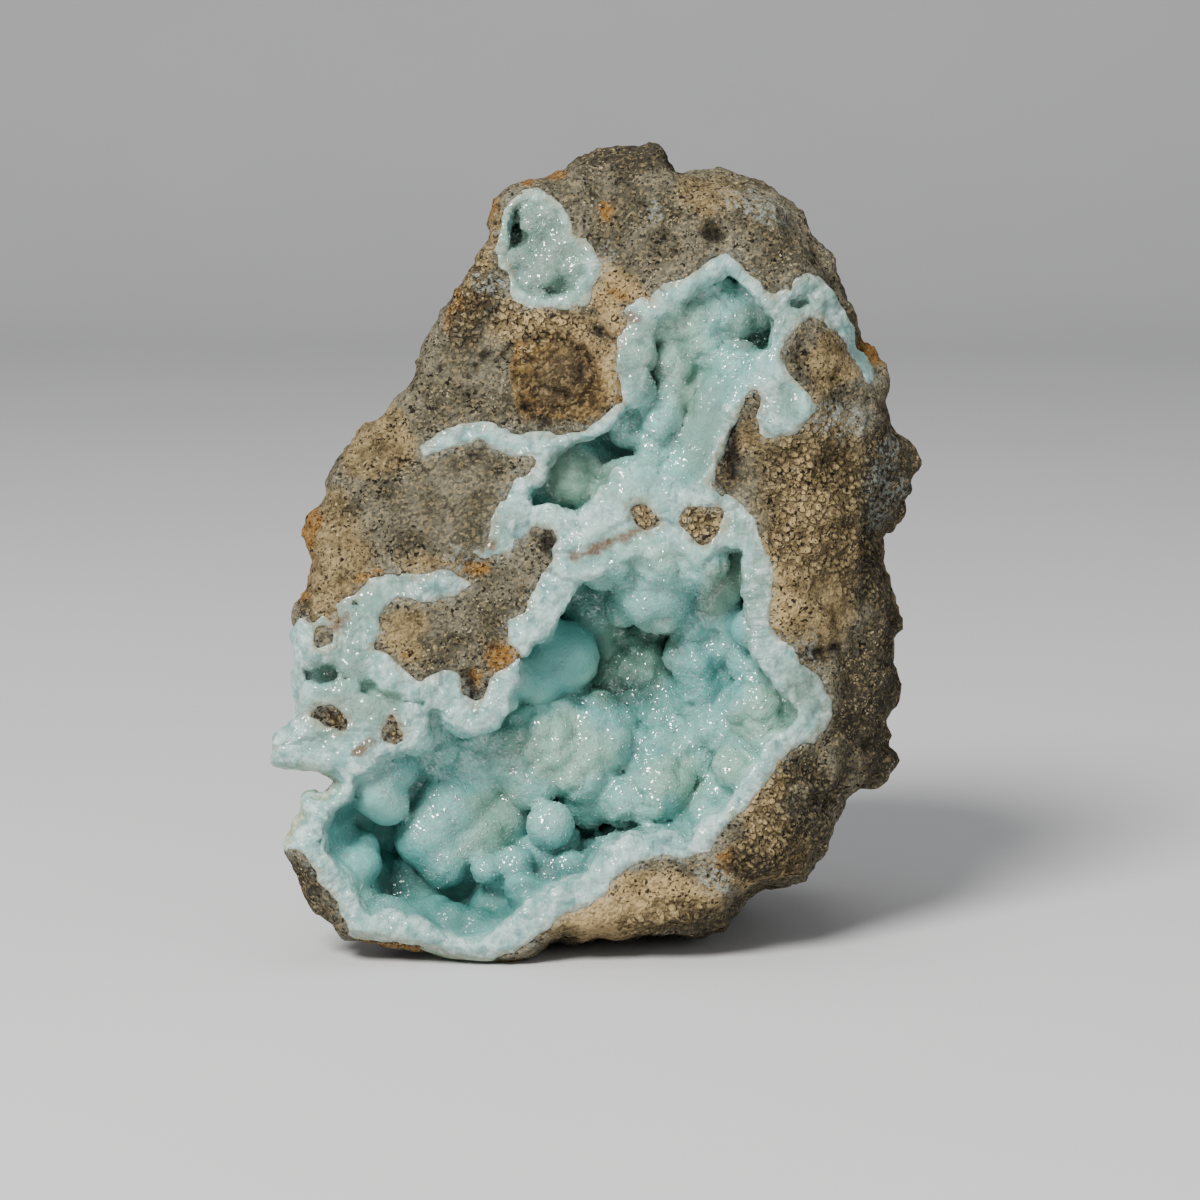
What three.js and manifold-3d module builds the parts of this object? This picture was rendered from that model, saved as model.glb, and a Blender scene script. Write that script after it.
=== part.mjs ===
// A specimen of hemimorphite: a hollow in a broken piece of sandy grey-brown rock, lined with a
// pale blue-green crust of rounded lumps. The crust ends in a broken rim on the front face, and
// islands of rock show through it. A second, small pocket near the top has a crust of its own.
// Millimetres, +Z up. The specimen stands on a small flat at its base and leans back.
//
// Everything is laid out in the frame of the broken front face: u runs to the right, v runs up the
// face, and w is the depth behind it. The face frame leans back by LEAN and stands on z = 0.
import * as THREE from 'three';
import { mergeVertices } from 'three/addons/utils/BufferGeometryUtils.js';
import Module from 'manifold-3d';

const wasm = await Module();
wasm.setup();

const LEAN = THREE.MathUtils.degToRad(8);
const MIDDLE = { x: -0.14, y: 27.01 }; // from the face frame's origin to the middle of the base
const CRUST_THICKNESS = 3.6;
const RIM_DEPTH = 6; // how far the crust reaches behind the face where it has no hollow
const JOINT_GAP = 0.35; // clearance between the rock and the crust
const BODY_CELL = 4.8; // facet sizes
const WELL_CELL = 5.7;
const LUMP_CELL = 3.05;
const FACET_LOSS = 0.6; // what the body's facets cut off its round sides

// The outline of the whole specimen, seen square to the front face.
const SILHOUETTE = [
  [-13.5, -0.1], [-10, 0.1], [-8, 0.8], [-5.2, 2.6], [-2, 2.8], [3, 3.4], [6.4, 2.9], [12, 3.2],
  [15, 4.6], [17, 6.3], [19, 7.8], [24.5, 8.5], [25, 10], [26, 13], [27.5, 15], [29.5, 18],
  [32.4, 20.2], [33.8, 23], [33.3, 25], [34.2, 29.5], [35.3, 31.5], [35.2, 34], [34.4, 37],
  [35.1, 40], [35, 43], [33.7, 46], [33, 49.5], [36, 52.2], [35.8, 53.5], [36.8, 54.8],
  [37.3, 58], [36.5, 60], [35.2, 62], [34.5, 65], [34.2, 67.8], [32.8, 69.7], [31, 72],
  [30.5, 75.5], [29, 79], [28, 82.5], [26.5, 85], [24.7, 86.5], [23.5, 88.5], [22, 90.3],
  [17.5, 91.5], [14, 92.6], [10, 92.2], [8.5, 94], [7, 95.1], [4, 95.1], [0.5, 94.2],
  [-2.5, 92.8], [-4.5, 91.5], [-7, 90.6], [-10, 90.1], [-12, 88.3], [-13, 85.5], [-13.2, 83.2],
  [-15.5, 79.5], [-17, 76.8], [-19, 74], [-20.3, 71], [-22.2, 66.5], [-24.3, 64], [-26, 63.3],
  [-28.3, 61.2], [-30.8, 58], [-32.2, 53.2], [-33.7, 52], [-33.7, 49.8], [-33, 47], [-34, 43.6],
  [-35.5, 40], [-35.2, 37], [-35, 33], [-34.7, 28.5], [-37, 26], [-37.4, 23], [-32.2, 22.7],
  [-30.2, 20.8], [-31.6, 19.7], [-34.1, 20.1], [-34.4, 17.4], [-36.6, 13.6], [-36.3, 12.2],
  [-34.5, 9.5], [-32.5, 6.5], [-31, 4.8], [-29.5, 3], [-25, 2.2], [-23.5, 1.5], [-20, 1.3],
  [-17, 0.5],
];

// Where the main crust meets the rock on the front face. On the left it runs out to the edge.
const CRUST_EDGE = [
  [14.5, 81.6], [16.2, 80.2], [17.4, 78.6], [18.6, 77], [20, 76.4], [21.6, 77.6], [23, 79.1],
  [25.2, 78.9], [27, 77.3], [28.8, 74.6], [30.4, 71.8], [31.8, 69.4], [31.4, 67.2], [30.4, 66.8],
  [29.8, 69], [28.4, 71.6], [26.4, 73.2], [24.8, 74.6], [23, 74], [21.3, 72.2], [20.4, 69.8],
  [21, 67.6], [23.4, 65.6], [24.6, 64], [23.6, 62.4], [21.4, 60.8], [19, 60.6], [18.2, 62.6],
  [18.9, 65], [17.8, 66.4], [16.2, 64.6], [14.8, 62], [13.4, 58.4], [12.3, 55.4], [13.6, 54],
  [15.8, 53.2], [17.6, 51], [18.4, 48.4], [19.5, 45.4], [19.3, 42], [19.1, 39.4], [20, 37.6],
  [21.8, 36.8], [23, 34.8], [25, 33.4], [26.1, 31], [25.6, 28], [24, 26.2], [21.6, 25],
  [20, 23.4], [18.4, 20.8], [16.6, 18.6], [14.4, 16.8], [13.2, 15], [12.2, 13.2], [10, 12.6],
  [6.4, 12.6], [3.4, 11.6], [1.4, 10], [0.4, 8.2], [-1.6, 7.2], [-3.8, 6.4], [-6, 4.6],
  [-8.2, 2.9], [-10.4, 1.8], [-13.4, 1.3], [-16.6, 1.7], [-19.4, 2.5], [-22, 3.2], [-25, 3.6],
  [-28.2, 4], [-29.2, 6.2], [-30.6, 8.6], [-32.4, 11.4], [-34, 13.2], [-39, 13.4], [-39, 39.4],
  [-33.6, 39.4], [-30.6, 39.2], [-29.6, 41.2], [-27.6, 42.6], [-25.4, 44.6], [-23.2, 45.2],
  [-20.4, 44.4], [-17.6, 45.2], [-15.8, 45.4], [-15.4, 47], [-13.4, 47.6], [-12.4, 49.8],
  [-11.6, 51.8], [-10.6, 54], [-9.6, 55.9], [-7.6, 55.9], [-6.8, 57.2], [-7.8, 58.3],
  [-11, 58.8], [-14, 60.2], [-17, 59.4], [-20, 58.2], [-20.4, 59.2], [-17.6, 61], [-14.6, 62.2],
  [-11.4, 61.6], [-8, 60.8], [-4, 60.7], [-1.6, 61.4], [0.4, 62.8], [2.6, 64.4], [2.2, 66.6],
  [1.6, 69], [2.4, 71.4], [3.2, 73.2], [2.6, 75.2], [4.6, 76.2], [6.4, 75.2], [6.4, 77],
  [8.4, 77.9], [11, 79.2], [12.6, 80.8],
];

// Rock that stands in the main crust: a broad shelf, two knobs, and three small stubs.
const ISLANDS = [
  [
    [-7.6, 50.4], [-5.4, 50.2], [-4.7, 48.6], [-5, 46.4], [-6.6, 44.6], [-7.6, 42.4],
    [-8.8, 40.2], [-10.6, 39.6], [-10.6, 37.6], [-9.2, 36], [-10.6, 34.2], [-12.6, 33],
    [-13, 31], [-14.3, 29.4], [-15.4, 31], [-16.2, 33.4], [-18, 33.6], [-20, 32.6],
    [-22.4, 33.6], [-24, 35.6], [-26.2, 36.6], [-25, 38.4], [-24.8, 40.6], [-23.6, 41.9],
    [-20.4, 41.8], [-16.4, 42.4], [-14.8, 43.6], [-17, 45], [-16.6, 48], [-13.4, 46.7],
    [-11.4, 46.8], [-9.6, 48.2],
  ],
  [
    [9.6, 52.8], [12, 52.6], [14.2, 52.8], [14.6, 51.4], [13.6, 49.6], [12, 47.9], [10.4, 48.6],
    [9.2, 50.2],
  ],
  [[3.2, 53.2], [5.6, 53], [6.8, 51], [5, 50.1], [3.8, 51]],
  [[-25.2, 26.6], [-24.4, 28.4], [-23.6, 29.2], [-22.8, 28], [-22.2, 26.6], [-23.4, 25.2]],
  [[-33.6, 28.6], [-32, 30.2], [-30, 30.6], [-28.4, 27.8], [-29.6, 26.6], [-31, 27.4]],
  [[-33, 37.2], [-31.8, 38.6], [-30.3, 38], [-30.8, 36.7], [-32.4, 36.8]],
];

// The inner edge of the rim of each hollow. floor is its depth behind the face.
const MAIN_HOLLOW = {
  floor: 22,
  edge: [
    [-2.6, 43.8], [0.5, 45.5], [4, 47], [8, 47.2], [11, 46.6], [14, 47.6], [16.2, 47.6],
    [16.4, 44], [17.1, 40], [17.2, 36.4], [17.5, 34.4], [19.6, 33], [21.8, 31], [22.8, 28.8],
    [22.4, 27.3], [19.6, 26.2], [18.4, 24], [16.8, 22.4], [16, 20.4], [15, 18.6], [13.4, 17.6],
    [11.8, 16.6], [10.6, 14.4], [9.2, 15], [7.4, 15.3], [5, 15], [2.6, 14.4], [0.6, 13.6],
    [-0.8, 12], [-2, 10.2], [-4, 9.8], [-6, 8.6], [-8.4, 7.4], [-9.8, 5.6], [-11.6, 4.5],
    [-13, 3.4], [-16.4, 3.2], [-18.6, 4.2], [-20.8, 5.4], [-23.6, 6], [-26.8, 5.8],
    [-27.4, 7.4], [-28.4, 9.4], [-29.8, 11.2], [-31, 12.8], [-31.6, 15.2], [-31, 17.8],
    [-28.9, 19.6], [-28.4, 21.8], [-26, 23.6], [-23.6, 24.2], [-21.6, 25.2],
    [-20.2, 27], [-19.6, 29.4], [-18.4, 30], [-17.6, 28.4], [-16.2, 27.2], [-14.4, 26.8],
    [-12.6, 27.4], [-11.8, 28.8], [-10.2, 30], [-9.9, 31.4], [-9.2, 32.6], [-9.4, 34.2],
    [-8.4, 35.6], [-8, 37], [-6.8, 37], [-5.4, 37.6], [-4.8, 39.2], [-3.8, 41.2],
  ],
};
const UPPER_HOLLOW = {
  floor: 8,
  edge: [
    [8.2, 76.2], [10.6, 76.6], [12.6, 78], [14.4, 79.4], [16, 78.8], [17.4, 77], [19, 75.2],
    [20, 74.2], [19.9, 71.6], [18.8, 70.2], [17.8, 68.4], [16, 65.6], [14.4, 63], [13, 60],
    [12, 57], [10.8, 54.8], [9, 54.4], [7.8, 55.8], [6.4, 57.2], [4.4, 57.2], [2, 56.8],
    [0.2, 55.2], [-1, 53], [-2.6, 51.4], [-5.2, 52.3], [-7.6, 52.6], [-7.8, 54.6],
    [-6.4, 56.6], [-5.4, 58.8], [-2.4, 60.2], [0, 61.2], [2, 62.8], [3.8, 64.2], [4, 66.4],
    [5.6, 68.2], [5.6, 70.6], [5.8, 73], [7, 75],
  ],
};
const LEFT_HOLLOW = {
  floor: 4.5,
  edge: [
    [-33.2, 33.6], [-32.4, 34.6], [-30, 34.8], [-27.4, 35.2], [-26, 33.6], [-24.4, 31.8],
    [-22, 31], [-20, 30.6], [-19.4, 29.2], [-21, 29.8], [-25.4, 30.2], [-27, 31.6],
    [-28.6, 32.4], [-31.4, 32.4],
  ],
};

// The lumps that the crust is made of, as balls: u, v, the centre's depth w, and the radius.
const MAIN_LUMPS = [
  // the big mass in the middle
  [-0.9, 26, 12, 5.4], [-2.3, 22, 10, 3.8], [-8, 21.2, 10, 3.6], [-6.6, 25.6, 10, 5],
  [-11.4, 24.2, 10.5, 3.8], [-4.6, 28.6, 11.5, 3.6], [-12.6, 22, 11.5, 2.6], [-6, 25, 18, 7],
  [-14.8, 24.6, 10.5, 3.2], [-18.6, 24.2, 9, 3.2], [-16.5, 26.5, 12, 3], [-20.6, 22.4, 12, 2.8],
  [-9.8, 30.6, 11, 2.6],
  // the mass below it, to the left
  [-20.2, 14.5, 9.5, 3.8], [-18.4, 11.6, 9.5, 3.2], [-17.4, 18, 10, 4], [-14.7, 20, 11.5, 3.1],
  [-15, 14.4, 12, 4.4], [-11.6, 16.4, 14, 4.2], [-16, 16, 18, 6],
  // small balls along its foot, and the one that stands alone
  [-13.4, 11, 8.5, 2.1], [-10.3, 11.8, 9, 2], [-8.2, 13.6, 10.5, 1.8], [-6, 15.6, 8, 2.7],
  [-4.4, 13, 12.5, 2.6], [-8.5, 15, 17, 4],
  // the mass at the lower right
  [6.7, 20.2, 10, 4.1], [2.7, 18.4, 10, 3], [5.2, 17.4, 10.5, 2.8], [0.5, 18.4, 11.5, 2.4],
  [6, 24.8, 11.5, 2.7], [9.9, 23.6, 12, 3], [13.5, 26.2, 11, 3.1], [12.4, 22.4, 12.5, 2.7],
  [11.8, 29.8, 13.5, 3.4], [8, 28, 15, 3], [9, 23, 17, 6], [13, 18.4, 10, 2.4],
  // the right wall
  [15.4, 22.2, 7, 2.2], [18.6, 29.8, 8, 4], [18.8, 26.2, 8, 2.6], [16.4, 28.2, 11, 3.2],
  [15.8, 25.2, 10, 2], [11, 35.4, 11.5, 3.3], [11.4, 31.8, 12, 3], [11.4, 39.7, 10, 2.7],
  [14.8, 40, 9, 2.6], [15, 37.2, 10, 2.5], [17.4, 36, 10.5, 2.6], [14.6, 31.5, 14, 3],
  [12.4, 35, 18.5, 5], [13.5, 43.8, 7.5, 3.1],
  // what hangs from the top
  [6.2, 43.2, 7, 4.8], [2.8, 41, 9.5, 2.4], [5, 46.8, 5.4, 4.2], [10, 46.6, 5.2, 3.6],
  [8, 43, 13, 5],
  // the back wall, and the smooth balls behind the shelf
  [4.6, 34.4, 15.5, 3.4], [7.2, 30.6, 16, 3], [1.2, 37, 16.5, 2.8], [1.4, 32.4, 16.5, 3],
  [6.2, 37.6, 17, 2.8], [-4.4, 35.4, 10, 4.3], [-7.2, 33.2, 8.5, 3.3], [-5, 31.2, 14, 3.6],
  [-6, 35, 17, 5],
  // the left end
  [-25, 20.4, 5.6, 4], [-27.2, 22, 4.4, 2.8], [-22.6, 23.2, 10, 2.8], [-27.8, 11.3, 7.5, 3],
  [-30.4, 14.6, 8.5, 2.5], [-28.4, 17.2, 12, 2.6], [-25, 15.8, 15, 3.2],
  // the bottom
  [-19, 4.6, 8.5, 3], [-14.2, 4, 6, 2.4], [-12.2, 6, 10.5, 2.9], [-8, 7.8, 9.5, 2.9],
  [-4.8, 9, 10, 2.5], [-1.2, 11, 10, 2],
];
const UPPER_LUMPS = [
  [13, 76.6, 5.4, 2.9], [15.2, 74.4, 5.4, 2.8], [11.2, 74, 5, 3.1], [8.6, 72.6, 4.8, 2.8],
  [11.6, 71, 5.6, 2.9], [8.6, 69, 5, 2.8], [8.4, 65.8, 5.2, 2.6], [6.6, 62.2, 4.8, 3],
  [3.2, 61.6, 5.4, 2.2], [6.4, 59.2, 5.2, 2.4], [9, 62.2, 7, 2.2], [10.8, 67.4, 6.6, 2.3],
  [18.2, 75, 6.4, 2.2], [-2.9, 56.6, 6.6, 3.8], [-5.6, 54.8, 6.4, 2.6], [2.8, 57.4, 8, 1.9],
  [4.2, 54, 4.4, 4.2],
];
// The two ends of the smooth ridge along the right of the upper hollow.
const RIDGE_ENDS = [[10.4, 56.6, 5.8, 2.8], [16.2, 68, 5, 2.9]];
const RIDGE_BALLS = 8;
const LUMP_BLEND = 0.7; // how far neighbouring lumps run into each other

// The small pocket near the top left.
const CORNER_EDGE = [
  [-7, 89.2], [-5.2, 88.2], [-3.6, 86.6], [-3, 83.4], [-1, 82.2], [-0.2, 80.4], [-0.6, 78],
  [-1.8, 76.2], [-4, 75.2], [-7.4, 75.2], [-10, 75.8], [-10.8, 77.6], [-10.6, 79.4],
  [-12, 80.8], [-12.2, 83.4], [-11.4, 86], [-10.4, 87.8], [-8.6, 88.8],
];
const CORNER_HOLLOW = {
  floor: 6.5,
  edge: [
    [-10.2, 87], [-8, 88], [-5.4, 87.2], [-4.2, 85.4], [-4, 83], [-2.8, 81.4], [-2.6, 79],
    [-3.2, 77.4], [-5, 77.3], [-7, 77.2], [-8.8, 78.2], [-9.4, 80], [-10.8, 81.6], [-11, 84],
  ],
};
const CORNER_LUMPS = [
  [-6.3, 85, 3.6, 3.2], [-5.4, 81.6, 4, 2.7], [-8.2, 80.8, 4.2, 2.6], [-3.6, 80.2, 4.6, 2.1],
  [-6, 79, 5.4, 2.2], [-5, 87, 3.4, 1.8], [-11, 83.8, 4.6, 1.3],
];

// The plainer outline that the rock has behind its front edges.
const BACK_OUTLINE = [
  [-12, 1], [12, 3.6], [24, 11], [32, 24], [33.5, 44], [35, 57], [29, 73], [20, 88], [6, 92],
  [-9, 86], [-19, 68], [-29, 52], [-31, 38], [-29.6, 22], [-29.8, 12], [-24, 4],
];

// The planes that the back of the rock broke along: outward direction (u, w, v) and distance from
// BACK_CENTRE.
const BACK_CENTRE = [0, 20, 45];
const BACK_PLANES = [
  [[0.1, 1, 0.06], 25],
  [[-0.2, 0.97, -0.2], 26.5],
  [[0.72, 0.66, 0.16], 31],
  [[0.8, 0.42, -0.3], 35],
  [[-0.66, 0.74, 0.16], 28],
  [[-0.78, 0.5, -0.3], 31],
  [[0.2, 0.72, 0.66], 36],
  [[0.62, 0.4, 0.66], 41],
  [[-0.56, 0.5, 0.66], 35],
  [[0.05, 0.8, -0.6], 40],
  [[0.7, 0.3, -0.64], 42],
];

const BEFORE_FACE = -12; // a depth well in front of the specimen
const GROUND_DEPTH = 60; // the block that the foot of the specimen is cut off with
const GROUND_WIDTH = 240;

const clamp01 = (x) => Math.min(1, Math.max(0, x));
const mix = (a, b, t) => a + (b - a) * t;

function smoothstep(low, high, x) {
  const t = clamp01((x - low) / (high - low));
  return t * t * (3 - 2 * t);
}

// The larger of two fields, rounded over a width k where they cross.
function smoothMax(a, b, k) {
  const h = Math.max(k - Math.abs(a - b), 0) / k;
  return Math.max(a, b) + (h * h * k) / 4;
}

const smoothMin = (a, b, k) => -smoothMax(-a, -b, k);

// Distance from (u, v) to a closed outline, negative inside it.
function outlineDistance(outline, u, v) {
  let nearest = Infinity;
  let inside = false;
  outline.forEach(([u1, v1], i) => {
    const [u0, v0] = outline.at(i - 1);
    const du = u1 - u0;
    const dv = v1 - v0;
    const along = clamp01(((u - u0) * du + (v - v0) * dv) / (du * du + dv * dv));
    nearest = Math.min(nearest, Math.hypot(u - u0 - along * du, v - v0 - along * dv));
    if (v0 > v !== v1 > v && u < u0 + ((v - v0) * du) / dv) inside = !inside;
  });
  return inside ? -nearest : nearest;
}

// A repeatable value from 0 to 1 for a corner of the noise lattice.
function latticeValue(i, j, k) {
  const s = Math.sin(i * 127.1 + j * 311.7 + k * 74.7) * 43758.5453;
  return s - Math.floor(s);
}

// Smooth noise from -1 to 1 that repeats nothing within a specimen. size is its grain.
function noise(u, w, v, size) {
  const [x, y, z] = [u / size, w / size, v / size];
  const [i, j, k] = [Math.floor(x), Math.floor(y), Math.floor(z)];
  const [a, b, c] = [smoothstep(0, 1, x - i), smoothstep(0, 1, y - j), smoothstep(0, 1, z - k)];
  const row = (dj, dk) =>
    mix(latticeValue(i, j + dj, k + dk), latticeValue(i + 1, j + dj, k + dk), a);
  const sheet = (dk) => mix(row(0, dk), row(1, dk), b);
  return 2 * mix(sheet(0), sheet(1), c) - 1;
}

// The depth of the broken front face: nearly flat, turning away at the right flank and the top.
function faceDepth(u, v) {
  const flank = smoothstep(22, 40, u + 0.12 * Math.abs(v - 58)) * 9;
  const top = smoothstep(86, 97, v) * 5;
  const knob = 2 * Math.exp(-(((u + 4.5) / 7) ** 2) - ((v - 68) / 6) ** 2);
  const recess = 1.6 * Math.exp(-(((u - 15.5) / 3) ** 2) - ((v - 59) / 6) ** 2);
  return flank + top - knob + recess + 0.7 * noise(u, 3, v, 9);
}

// The whole specimen with no hollows, negative inside.
function bodyField(u, w, v) {
  const widest = 4 + 11 * smoothstep(0, 32, u) + 5 * smoothstep(76, 95, v);
  const back = smoothstep(widest + 1, widest + 12, w);
  const outline = mix(outlineDistance(SILHOUETTE, u, v), outlineDistance(BACK_OUTLINE, u, v), back);
  const slope = w < widest ? 0.35 : mix(0.02, 0.14, smoothstep(4, 30, v));
  let field = outline - FACET_LOSS + slope * Math.abs(w - widest);
  field = smoothMax(field, faceDepth(u, v) - w, 2);
  for (const [[du, dw, dv], distance] of BACK_PLANES) {
    const length = Math.hypot(du, dw, dv);
    const [cu, cw, cv] = BACK_CENTRE;
    const plane = ((u - cu) * du + (w - cw) * dw + (v - cv) * dv) / length - distance;
    field = smoothMax(field, plane, 2.5);
  }
  return field + back * (1.2 * noise(u, w, v, 13) + 0.8 * noise(u, w, v, 7));
}

// A hollow's open space, negative inside. Its floor and its left end slope, and its top is undercut.
function hollowField({ edge, floor }, u, w, v) {
  const lean = mix(0.24, -0.06, smoothstep(8, 24, v)) + 0.45 * smoothstep(-20, -32, u);
  const deepest = floor * mix(1, 0.62, smoothstep(-12, -28, u)) + 1.5 * noise(u, 7, v, 8);
  return smoothMax(outlineDistance(edge, u, v) + lean * w, w - deepest, 3);
}

const hollowsField = (hollows, u, w, v) =>
  Math.min(...hollows.map((hollow) => hollowField(hollow, u, w, v)));

function lumpsField(lumps, u, w, v) {
  const distances = lumps.map(([cu, cv, cw, r]) => Math.hypot(u - cu, w - cw, v - cv) - r);
  return distances.reduce((a, b) => smoothMin(a, b, LUMP_BLEND));
}

// The open space of a set of hollows, less the lumps that stand in them.
function openField(hollows, lumps, u, w, v) {
  return smoothMax(hollowsField(hollows, u, w, v), -lumpsField(lumps, u, w, v), LUMP_BLEND);
}

// The space behind the hollows that the crust fills, widening from its edge on the face.
function wellField(hollows, crustEdge, u, w, v) {
  const behindCrust = hollowsField(hollows, u, w, v) - CRUST_THICKNESS;
  return smoothMax(behindCrust, outlineDistance(crustEdge, u, v) - 0.3 * w, 1);
}

// True if the corners of the wanted sign are joined to each other by the cell's edges.
function inOnePiece(signs, wanted, neighbours) {
  const start = signs.indexOf(wanted);
  if (start < 0) return true;
  const reached = new Set([start]);
  for (const corner of reached)
    for (const next of neighbours(corner)) if (signs[next] === wanted) reached.add(next);
  return reached.size === signs.filter((s) => s === wanted).length;
}

const CUBE = [0, 1, 2, 3, 4, 5, 6, 7].map((c) => [c & 1, (c >> 1) & 1, (c >> 2) & 1]);
const cubeNeighbours = (corner) => [corner ^ 1, corner ^ 2, corner ^ 4];
const CUBE_FACES = [0, 1, 2].flatMap((axis) =>
  [0, 1].map((side) => CUBE.map((c, i) => i).filter((i) => CUBE[i][axis] === side)),
);

// True if a cell's corners, or those of one of its faces, can't be parted by one clean sheet.
function isTangled(signs) {
  const whole = [true, false].every((wanted) => inOnePiece(signs, wanted, cubeNeighbours));
  const crossed = CUBE_FACES.some(([a, b, c, d]) => {
    return signs[a] === signs[d] && signs[b] === signs[c] && signs[a] !== signs[b];
  });
  return !whole || crossed;
}

// A closed faceted surface where a field is zero: one vertex in each cell of a cubic grid that the
// surface crosses, and two triangles across each grid edge that it crosses.
function surfaceOf(field, low, high, cell) {
  const count = low.map((x, axis) => Math.ceil((high[axis] - x) / cell) + 1);
  const index = (i, j, k) => i + count[0] * (j + count[1] * k);
  const place = (i, j, k) => [low[0] + i * cell, low[1] + j * cell, low[2] + k * cell];
  const values = new Float64Array(count[0] * count[1] * count[2]);
  const everyCell = (visit, margin) => {
    for (let k = 0; k < count[2] - margin; k++)
      for (let j = 0; j < count[1] - margin; j++)
        for (let i = 0; i < count[0] - margin; i++) visit(i, j, k);
  };
  everyCell((i, j, k) => {
    const edge = [i, j, k].some((n, axis) => n === 0 || n === count[axis] - 1);
    values[index(i, j, k)] = edge ? cell : field(...place(i, j, k));
  }, 0);

  const cornersOf = (i, j, k) => CUBE.map(([a, b, c]) => index(i + a, j + b, k + c));
  const nudge = cell / 50;
  let tangled = true;
  while (tangled) {
    tangled = false;
    everyCell((i, j, k) => {
      const corners = cornersOf(i, j, k);
      if (!isTangled(corners.map((c) => values[c] < 0))) return;
      const outside = corners.filter((c) => values[c] >= 0);
      const nearest = outside.reduce((a, b) => (values[a] < values[b] ? a : b));
      values[nearest] = -nudge;
      tangled = true;
    }, 1);
  }

  const positions = [];
  const vertexOf = new Map();
  everyCell((i, j, k) => {
    const corners = cornersOf(i, j, k).map((c) => values[c]);
    const crossings = [];
    CUBE.forEach((from, a) => {
      for (const b of cubeNeighbours(a)) {
        if (b < a || corners[a] < 0 === corners[b] < 0) continue;
        const t = corners[a] / (corners[a] - corners[b]);
        crossings.push(from.map((x, axis) => mix(x, CUBE[b][axis], t)));
      }
    });
    if (!crossings.length) return;
    const mean = [0, 1, 2].map((n) => crossings.reduce((s, c) => s + c[n], 0) / crossings.length);
    vertexOf.set(index(i, j, k), positions.length / 3);
    positions.push(...place(i, j, k).map((x, axis) => x + mean[axis] * cell));
  }, 1);

  const triangles = [];
  const apart = (a, b) =>
    Math.hypot(...[0, 1, 2].map((n) => positions[3 * a + n] - positions[3 * b + n]));
  everyCell((i, j, k) => {
    for (const axis of [0, 1, 2]) {
      const step = [0, 1, 2].map((n) => Number(n === axis));
      const here = values[index(i, j, k)] < 0;
      const there = values[index(i + step[0], j + step[1], k + step[2])] < 0;
      if (here === there) continue;
      const [p, q] = [[1, 2], [2, 0], [0, 1]][axis];
      const ring = [[0, 0], [1, 0], [1, 1], [0, 1]].map(([a, b]) => {
        const cellAt = [i, j, k];
        cellAt[p] -= a;
        cellAt[q] -= b;
        return vertexOf.get(index(...cellAt));
      });
      const [a, b, c, d] = here ? ring : ring.reverse();
      if (apart(a, c) < apart(b, d)) triangles.push(a, b, c, a, c, d);
      else triangles.push(a, b, d, b, c, d);
    }
  }, 1);
  const geometry = new THREE.BufferGeometry();
  geometry.setAttribute('position', new THREE.Float32BufferAttribute(positions, 3));
  geometry.setIndex(triangles);
  return geometry;
}

// A closed geometry as a solid for joining and cutting.
function solidOf(geometry) {
  geometry.deleteAttribute('normal');
  geometry.deleteAttribute('uv');
  const merged = mergeVertices(geometry);
  return new wasm.Manifold(
    new wasm.Mesh({
      numProp: 3,
      vertProperties: new Float32Array(merged.getAttribute('position').array),
      triVerts: new Uint32Array(merged.getIndex().array),
    }),
  );
}

function groundBlock() {
  const block = new THREE.BoxGeometry(GROUND_WIDTH, GROUND_WIDTH, GROUND_DEPTH);
  return solidOf(block.translate(0, 0, -GROUND_DEPTH / 2));
}

// An outline moved out by a distance, or in where the distance is negative.
function grown(outline, distance) {
  const clockwise = THREE.ShapeUtils.isClockWise(outline.map(([x, y]) => ({ x, y })));
  const outward = clockwise ? -distance : distance;
  return outline.map(([u, v], i) => {
    const [u0, v0] = outline.at(i - 1);
    const [u1, v1] = outline[(i + 1) % outline.length];
    const scale = outward / Math.hypot(u1 - u0, v1 - v0);
    return [u + (v1 - v0) * scale, v - (u1 - u0) * scale];
  });
}

// A prism on an outline of the face, from in front of the face to a depth behind it.
function prism(outline, depth) {
  const points = outline.map(([u, v]) => new THREE.Vector2(u, v));
  const anticlockwise = THREE.ShapeUtils.isClockWise(points) ? points.reverse() : points;
  const caps = THREE.ShapeUtils.triangulateShape(anticlockwise, []);
  const n = anticlockwise.length;
  const positions = [depth, BEFORE_FACE].flatMap((w) => anticlockwise.flatMap((p) => [p.x, w, p.y]));
  const triangles = caps.flatMap(([a, b, c]) => [a, c, b, a + n, b + n, c + n]);
  for (let i = 0; i < n; i++) {
    const next = (i + 1) % n;
    triangles.push(i, next, next + n, i, next + n, i + n);
  }
  const geometry = new THREE.BufferGeometry();
  geometry.setAttribute('position', new THREE.Float32BufferAttribute(positions, 3));
  geometry.setIndex(triangles);
  return solidOf(geometry);
}

const largest = (solid) =>
  solid.decompose().reduce((a, b) => (a.volume() > b.volume() ? a : b));

// The space that a crust fills, hollow included, less a clearance all round.
function crustSpace(edge, islands, hollows, box, clearance) {
  const rim = islands.reduce(
    (solid, island) => solid.subtract(prism(grown(island, clearance), RIM_DEPTH + 1)),
    prism(grown(edge, -clearance), RIM_DEPTH - clearance),
  );
  const well = surfaceOf(
    (u, w, v) => wellField(hollows, edge, u, w, v) + clearance,
    box[0],
    box[1],
    WELL_CELL,
  );
  const standing = islands.reduce(
    (solid, island) => solid.subtract(prism(grown(island, clearance), 2 * RIM_DEPTH)),
    solidOf(well),
  );
  return rim.add(standing);
}

function openSpace(hollows, lumps, [low, high]) {
  return solidOf(surfaceOf((u, w, v) => openField(hollows, lumps, u, w, v), low, high, LUMP_CELL));
}

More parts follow.
